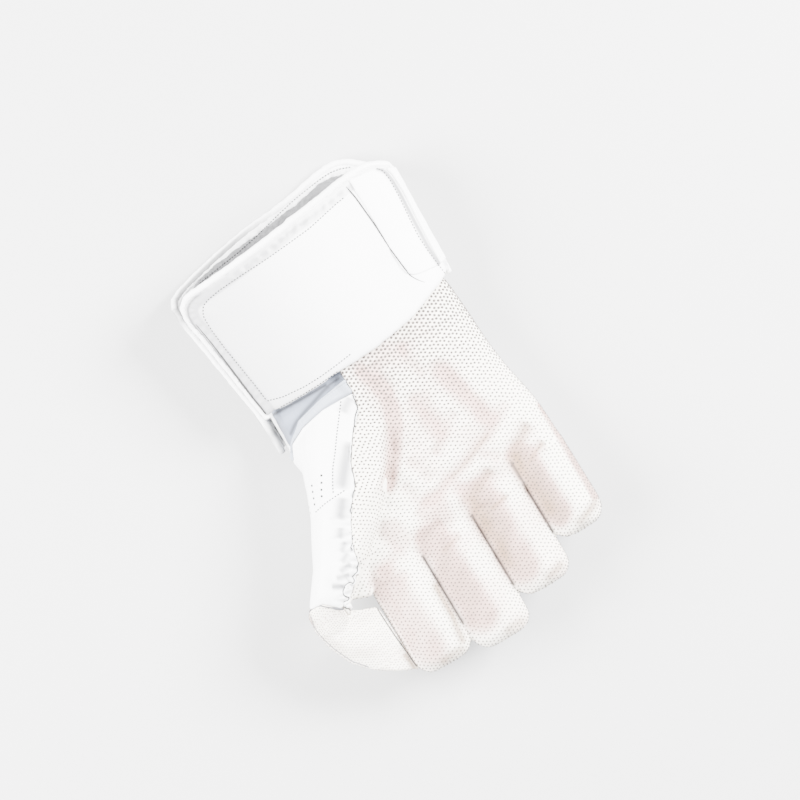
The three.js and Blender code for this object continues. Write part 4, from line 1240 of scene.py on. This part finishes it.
class GLOVE_OT_wrist(Operator):
    """The ribbed elastic band and the cloth gusset at the wrist"""

    bl_idname = "glove.wrist"
    bl_label = "Wrist band and gusset"

    def execute(self, context):
        cloth = context.scene.glove_cloth
        band = softened("wrist_band_elastic", "wrist_band", 0.0005, 10)
        points, normals = points_of(band.data), normals_of(band.data)
        edge = plan_line(BAND_EDGE, rounds=12)
        distance, side, share = beside_line(points[:, :2], edge)
        length = np.linalg.norm(np.diff(edge, axis=0), axis=1).sum()
        rib = np.sin(share * length * 2 * math.pi / cloth.rib_pitch) * bell(distance, 0, 3.5 * MM, 4)
        roll = 0.5 * MM * bell(distance, 5.2 * MM, 1.6 * MM)
        points += normals * (0.12 * MM * rib + roll)[:, None]
        points[:, 1] -= 3.5 * MM * eased(side * distance, 0.0, 5 * MM)
        set_points(band.data, points)
        # Painted shade along the band's edge
        set_values(band.data, "deep", tints(points, BAND_SHADES))
        finished(band, "elastic_band", cloth_material("elastic_look", cloth.elastic_colour, 1800.0, 0.3), "wrist_band")
        gusset = softened("wrist_gusset_cloth", "wrist_gusset", 0.0007, 6)
        points, normals = points_of(gusset.data), normals_of(gusset.data)
        crease = ripple(points * np.array([1.0, 2.5, 1.0]), 0.03, 41)
        set_points(gusset.data, points + normals * (0.35 * MM * crease)[:, None])
        # Painted shade at the gusset's left end and along its folds
        set_values(gusset.data, "deep", tints(points, GUSSET_SHADES))
        fabric = cloth_material("gusset_look", cloth.gusset_colour, 1600.0, 0.4)
        finished(gusset, "gusset_fabric", fabric, "wrist_gusset")
        return {"FINISHED"}


def sagged(points, drops):
    """Cuff points with their open edge lowered by shares of the hand's reach that a table gives across the hand."""
    across = (points[:, 0] - MIDDLE) / HALF_PALM
    drop = np.interp(across, *np.transpose(drops)) * settings().hand_reach
    points[:, 1] -= drop * over_reach(points, -0.28, -0.47)
    return points


class GLOVE_OT_cuff(Operator):
    """The cuff's padded panels, their rolled bindings, the strip on the side and the towelling lining"""

    bl_idname = "glove.cuff"
    bl_label = "Cuff"

    def execute(self, context):
        centre = (MIDDLE, CUFF_LOW.y)
        front_edge = sagged(tube_line("cuff_front_binding", centre), FRONT_SAG)
        back_edge = sagged(tube_line("cuff_back_binding", centre), BACK_SAG)
        front = self.panel("cuff_front_panel", front_edge, FRONT_SAG)
        back = self.panel("cuff_back_panel", back_edge, BACK_SAG)
        for node, sag in (("cuff_front_binding", FRONT_SAG), ("cuff_back_binding", BACK_SAG)):
            roll = softened(node + "_roll", node, 0.0006, 16, swell=0.0005)
            points, normals = sagged(points_of(roll.data), sag), normals_of(roll.data)
            wrinkle = 0.1 * MM * ripple(points, 0.0045, 51) + 0.16 * MM * ripple(points, 0.014, 52)
            set_points(roll.data, points + normals * wrinkle[:, None])
            if node == "cuff_back_binding":
                # Painted shadow: the back binding's lower end darkened, and its inner side, facing the hand, shaded
                patchiness = 0.6 + 0.2 * ripple(points, 0.01, 53)
                low_end = over_reach(points, -0.01, 0.07) * (points[:, 0] < MIDDLE)
                inner = eased(-normals[:, 1], -0.8, 0.0) * over_reach(points, -0.33, -0.43)
                left = over_width(points, 0.2, -0.6)
                set_values(roll.data, "deep", np.maximum(np.clip(patchiness, 0, 1) * low_end, 0.75 * inner * left))
            finished(roll, "binding_leather", binding_material(), node)
        strip = softened("cuff_side_strip", "cuff_side_overlay", 0.0006, 8)
        points = sagged(points_of(strip.data), FRONT_SAG)
        set_points(strip.data, points)
        # Painted shade on the strip beside its roll, with painted shadow along its middle
        set_values(strip.data, "hollow", tints(points, STRIP_SHADES))
        set_values(strip.data, "deep", 0.7 * tints(points, STRIP_SHADES, steepness=4) ** 3)
        finished(strip, "white_leather", leather_material(), "cuff_side_overlay")
        front_tree = tree_of(front, strip, bpy.data.objects["cuff_front_binding_roll"])
        # Painted shadow lines along the overlay's edge and in the gap beside the front roll
        edging("cuff_strip_shadow_line", "white_leather", painted_shadow_material(), front_tree, OVERLAY_EDGE, OVERLAY_RADII)
        edging("cuff_edge_gap_shadow", "white_leather", painted_shadow_material(), front_tree, FRONT_GAP_SHADOW, GAP_RADII)
        edging("cuff_side_roll", "binding_leather", binding_material(), tree_of(strip), SIDE_ROLL, [(0, 1.5)], 0.5 * MM)
        lining = self.lining()
        back_tree = tree_of(back, lining)
        stitched("cuff_front_stitches", "white_leather", [laid_line(front_tree, places) for places in FRONT_STITCHES])
        inner = laid_line(back_tree, BACK_STITCHES, rise=0.1 * MM)
        outer = inset_line(back_tree, back_edge, leather_settings().stitch_inset)
        stitched("cuff_back_stitches", "white_leather", [inner, outer])
        return {"FINISHED"}

    def lining(self):
        """The towelling, with its upper edge raised and its loops as unevenness."""
        lining = softened("cuff_towelling", "cuff_lining", 0.0007, 4)
        points, normals = points_of(lining.data), normals_of(lining.data)
        column = np.round((points[:, 0] - CUFF_LOW.x) / (3 * MM)).astype(int)
        rim = np.full(column.max() + 1, -np.inf)
        np.maximum.at(rim, column, points[:, 1])
        across = (points[:, 0] - MIDDLE) / HALF_PALM
        rise = np.interp(across, *np.transpose(LINING_RISE)) * settings().hand_reach
        points[:, 1] += rise * eased(points[:, 1], rim[column] - 40 * MM, rim[column] - 2 * MM)
        pile = 0.25 * MM * ripple(points, 0.003, 61) + 0.3 * MM * ripple(points, 0.011, 62)
        set_points(lining.data, points + normals * pile[:, None])
        set_values(lining.data, "deep", 0.22 * eased(ripple(points, 0.004, 63), -0.2, 0.9))
        towelling = cloth_material("towelling_look", bpy.context.scene.glove_cloth.towelling_colour, 700.0, 0.8)
        return finished(lining, "towelling", towelling, "cuff_lining")

    def panel(self, node, edge, sag):
        """A padded panel with a flat band along its rolled edge, and puckers along the stitches of the band, with
        painted shade in the puckers, the stitch groove and over the front panel's left side, and a painted shadow line
        beside the roll.
        """
        obj = softened(node + "_leather", node, 0.0013, 24, ["cuff_front_binding", "cuff_back_binding"], rim=0.004)
        mesh = obj.data
        points, normals = sagged(points_of(mesh), sag), normals_of(mesh)
        tree = KDTree(len(edge))
        for i, place in enumerate(edge):
            tree.insert(Vector(place), i)
        tree.balance()
        found = [tree.find(Vector(point)) for point in points]
        distance = np.array([hit[2] for hit in found])
        way = np.array([hit[1] for hit in found]) * EDGE_STEP
        centre_z = cuff_axis(Vector((0, 0, 0))).z
        radial = points - np.array([MIDDLE, 0, centre_z])
        radial[:, 1] = 0.0
        outer = np.sum(radial * normals, axis=1) > 0
        inset = leather_settings().stitch_inset
        near = bell(distance, 0.7 * inset, 0.22 * inset)
        pucker = np.sin(way * 2 * math.pi / PUCKER_PITCH + 1.8 * ripple(points, 0.03, 71)) * near
        rise = 0.5 * bell(distance, 0, 0.5 * inset) - 0.55 * bell(distance, inset, 1.1 * MM)
        rise += 0.9 * eased(distance, inset, 2.2 * inset) + 0.3 * pucker + 0.35 * ripple(points, 0.045, 73)
        rise *= np.where(outer, 1.0, 0.4) * MM
        moved = points + normals * rise[:, None]
        moved[:, 2] = np.maximum(moved[:, 2], 0.0)  # flat where it lies on the floor
        set_points(mesh, moved)
        # Painted shade: grey in the puckers and the stitch groove, stronger towards the thumb
        thumb_side = over_width(points, 0.7, -0.2)
        streaks = 0.75 + 0.25 * ripple(points, 0.006, 75) - 0.3 * pucker
        shade = near * (0.6 + 0.3 * thumb_side) * streaks + 0.3 * bell(distance, inset, 0.9 * MM)
        # Painted shadow: a dark line beside the roll, darkest on the far left
        seam = bell(distance, 3.7 * MM, 0.8 * MM)
        beside = over_width(points, -0.85, -1.0)
        set_values(mesh, "deep", seam * (0.25 + 0.65 * beside))
        if node == "cuff_front_panel":
            # Painted shade: the front panel's upper left side greyer, where less light falls
            shade += 0.62 * over_width(points, 0.35, -1.0) * (points[:, 2] > centre_z)
        set_values(mesh, "hollow", np.clip(shade, 0.0, 0.9))
        finished(obj, "white_leather", leather_material(), node)
        return obj


class GLOVE_OT_stage(Operator):
    """The plain floor, the soft lights and the camera"""

    bl_idname = "glove.stage"
    bl_label = "Stage"

    def execute(self, context):
        stage = context.scene.glove_stage
        mesh = bpy.data.meshes.new("floor")
        form = bmesh.new()
        bmesh.ops.create_grid(form, x_segments=1, y_segments=1, size=6.0)
        form.to_mesh(mesh)
        form.free()
        floor = linked("floor", mesh)
        floor.data.transform(Matrix.Translation((0, 0, -0.2 * MM)))
        sheet = Sheet("plain_floor")
        sheet.shader.inputs["Base Color"].default_value = (*stage.floor_colour, 1.0)
        sheet.shader.inputs["Roughness"].default_value = 0.9
        floor.data.materials.append(sheet.material)

        # The picture's right and up, seen in plan
        along = Vector((-math.sin(stage.camera_roll), math.cos(stage.camera_roll), 0.0))
        right = Vector((math.cos(stage.camera_roll), math.sin(stage.camera_roll), 0.0))
        world = bpy.data.worlds.new("studio")
        context.scene.world = world
        world.use_nodes = True
        background = world.node_tree.nodes["Background"]
        background.inputs["Color"].default_value = (1.0, 1.0, 1.0, 1.0)
        background.inputs["Strength"].default_value = stage.sky

        up = Vector((0, 0, 1))
        centre = Vector((0.0251, 0.0055, 0.03))
        self.light("key", stage.key_power, 0.8, centre + right * 1.2 + along * 0.75 + up * 1.05, centre)
        self.light("fill", stage.fill_power, 1.2, centre - right * 1.3 - along * 0.2 + up, centre)

        camera = bpy.data.cameras.new("camera")
        camera.lens = stage.lens
        camera.sensor_width = 36.0
        distance = stage.view_width * stage.lens / camera.sensor_width
        eye = bpy.data.objects.new("camera", camera)
        context.scene.collection.objects.link(eye)
        lean = math.sin(stage.camera_tilt) * distance
        eye.location = centre - along * lean + up * (math.cos(stage.camera_tilt) * distance)
        back = (eye.location - centre).normalized()
        eye.rotation_euler = Matrix((right, back.cross(right).normalized(), back)).transposed().to_euler()
        camera.clip_start = 0.05
        camera.clip_end = 30.0
        context.scene.camera = eye
        return {"FINISHED"}

    def light(self, name, power, size, place, aim):
        lamp = bpy.data.lights.new(name, "AREA")
        lamp.energy = power
        lamp.size = size
        obj = bpy.data.objects.new(name, lamp)
        bpy.context.scene.collection.objects.link(obj)
        obj.location = place
        obj.rotation_euler = (aim - place).to_track_quat("-Z", "Y").to_euler()


class GLOVE_PT_pieces(Panel):
    """Lists the pieces of the glove"""

    bl_label = "Glove"
    bl_idname = "GLOVE_PT_pieces"
    bl_space_type = "VIEW_3D"
    bl_region_type = "UI"
    bl_category = "Glove"

    def draw(self, context):
        for operator in OPERATORS:
            self.layout.operator(operator.bl_idname)


PROPERTIES = {
    "glove_hand": HandProperties,
    "glove_leather": LeatherProperties,
    "glove_cloth": ClothProperties,
    "glove_stage": StageProperties,
}
OPERATORS = (
    GLOVE_OT_facing,
    GLOVE_OT_web,
    GLOVE_OT_thumb,
    GLOVE_OT_back,
    GLOVE_OT_wrist,
    GLOVE_OT_cuff,
    GLOVE_OT_stage,
)


def register():
    for group in PROPERTIES.values():
        bpy.utils.register_class(group)
    for operator in OPERATORS:
        bpy.utils.register_class(operator)
    bpy.utils.register_class(GLOVE_PT_pieces)
    for name, group in PROPERTIES.items():
        setattr(bpy.types.Scene, name, PointerProperty(type=group))


def unregister():
    for name in PROPERTIES:
        delattr(bpy.types.Scene, name)
    bpy.utils.unregister_class(GLOVE_PT_pieces)
    for operator in reversed(OPERATORS):
        bpy.utils.unregister_class(operator)
    for group in reversed(list(PROPERTIES.values())):
        bpy.utils.unregister_class(group)


def corners(box):
    return [list(corner) for corner in box]


def main():
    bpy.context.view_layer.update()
    register()
    for operator in OPERATORS:
        group, call = operator.bl_idname.split(".")
        getattr(getattr(bpy.ops, group), call)()


if __name__ == "__main__":
    main()
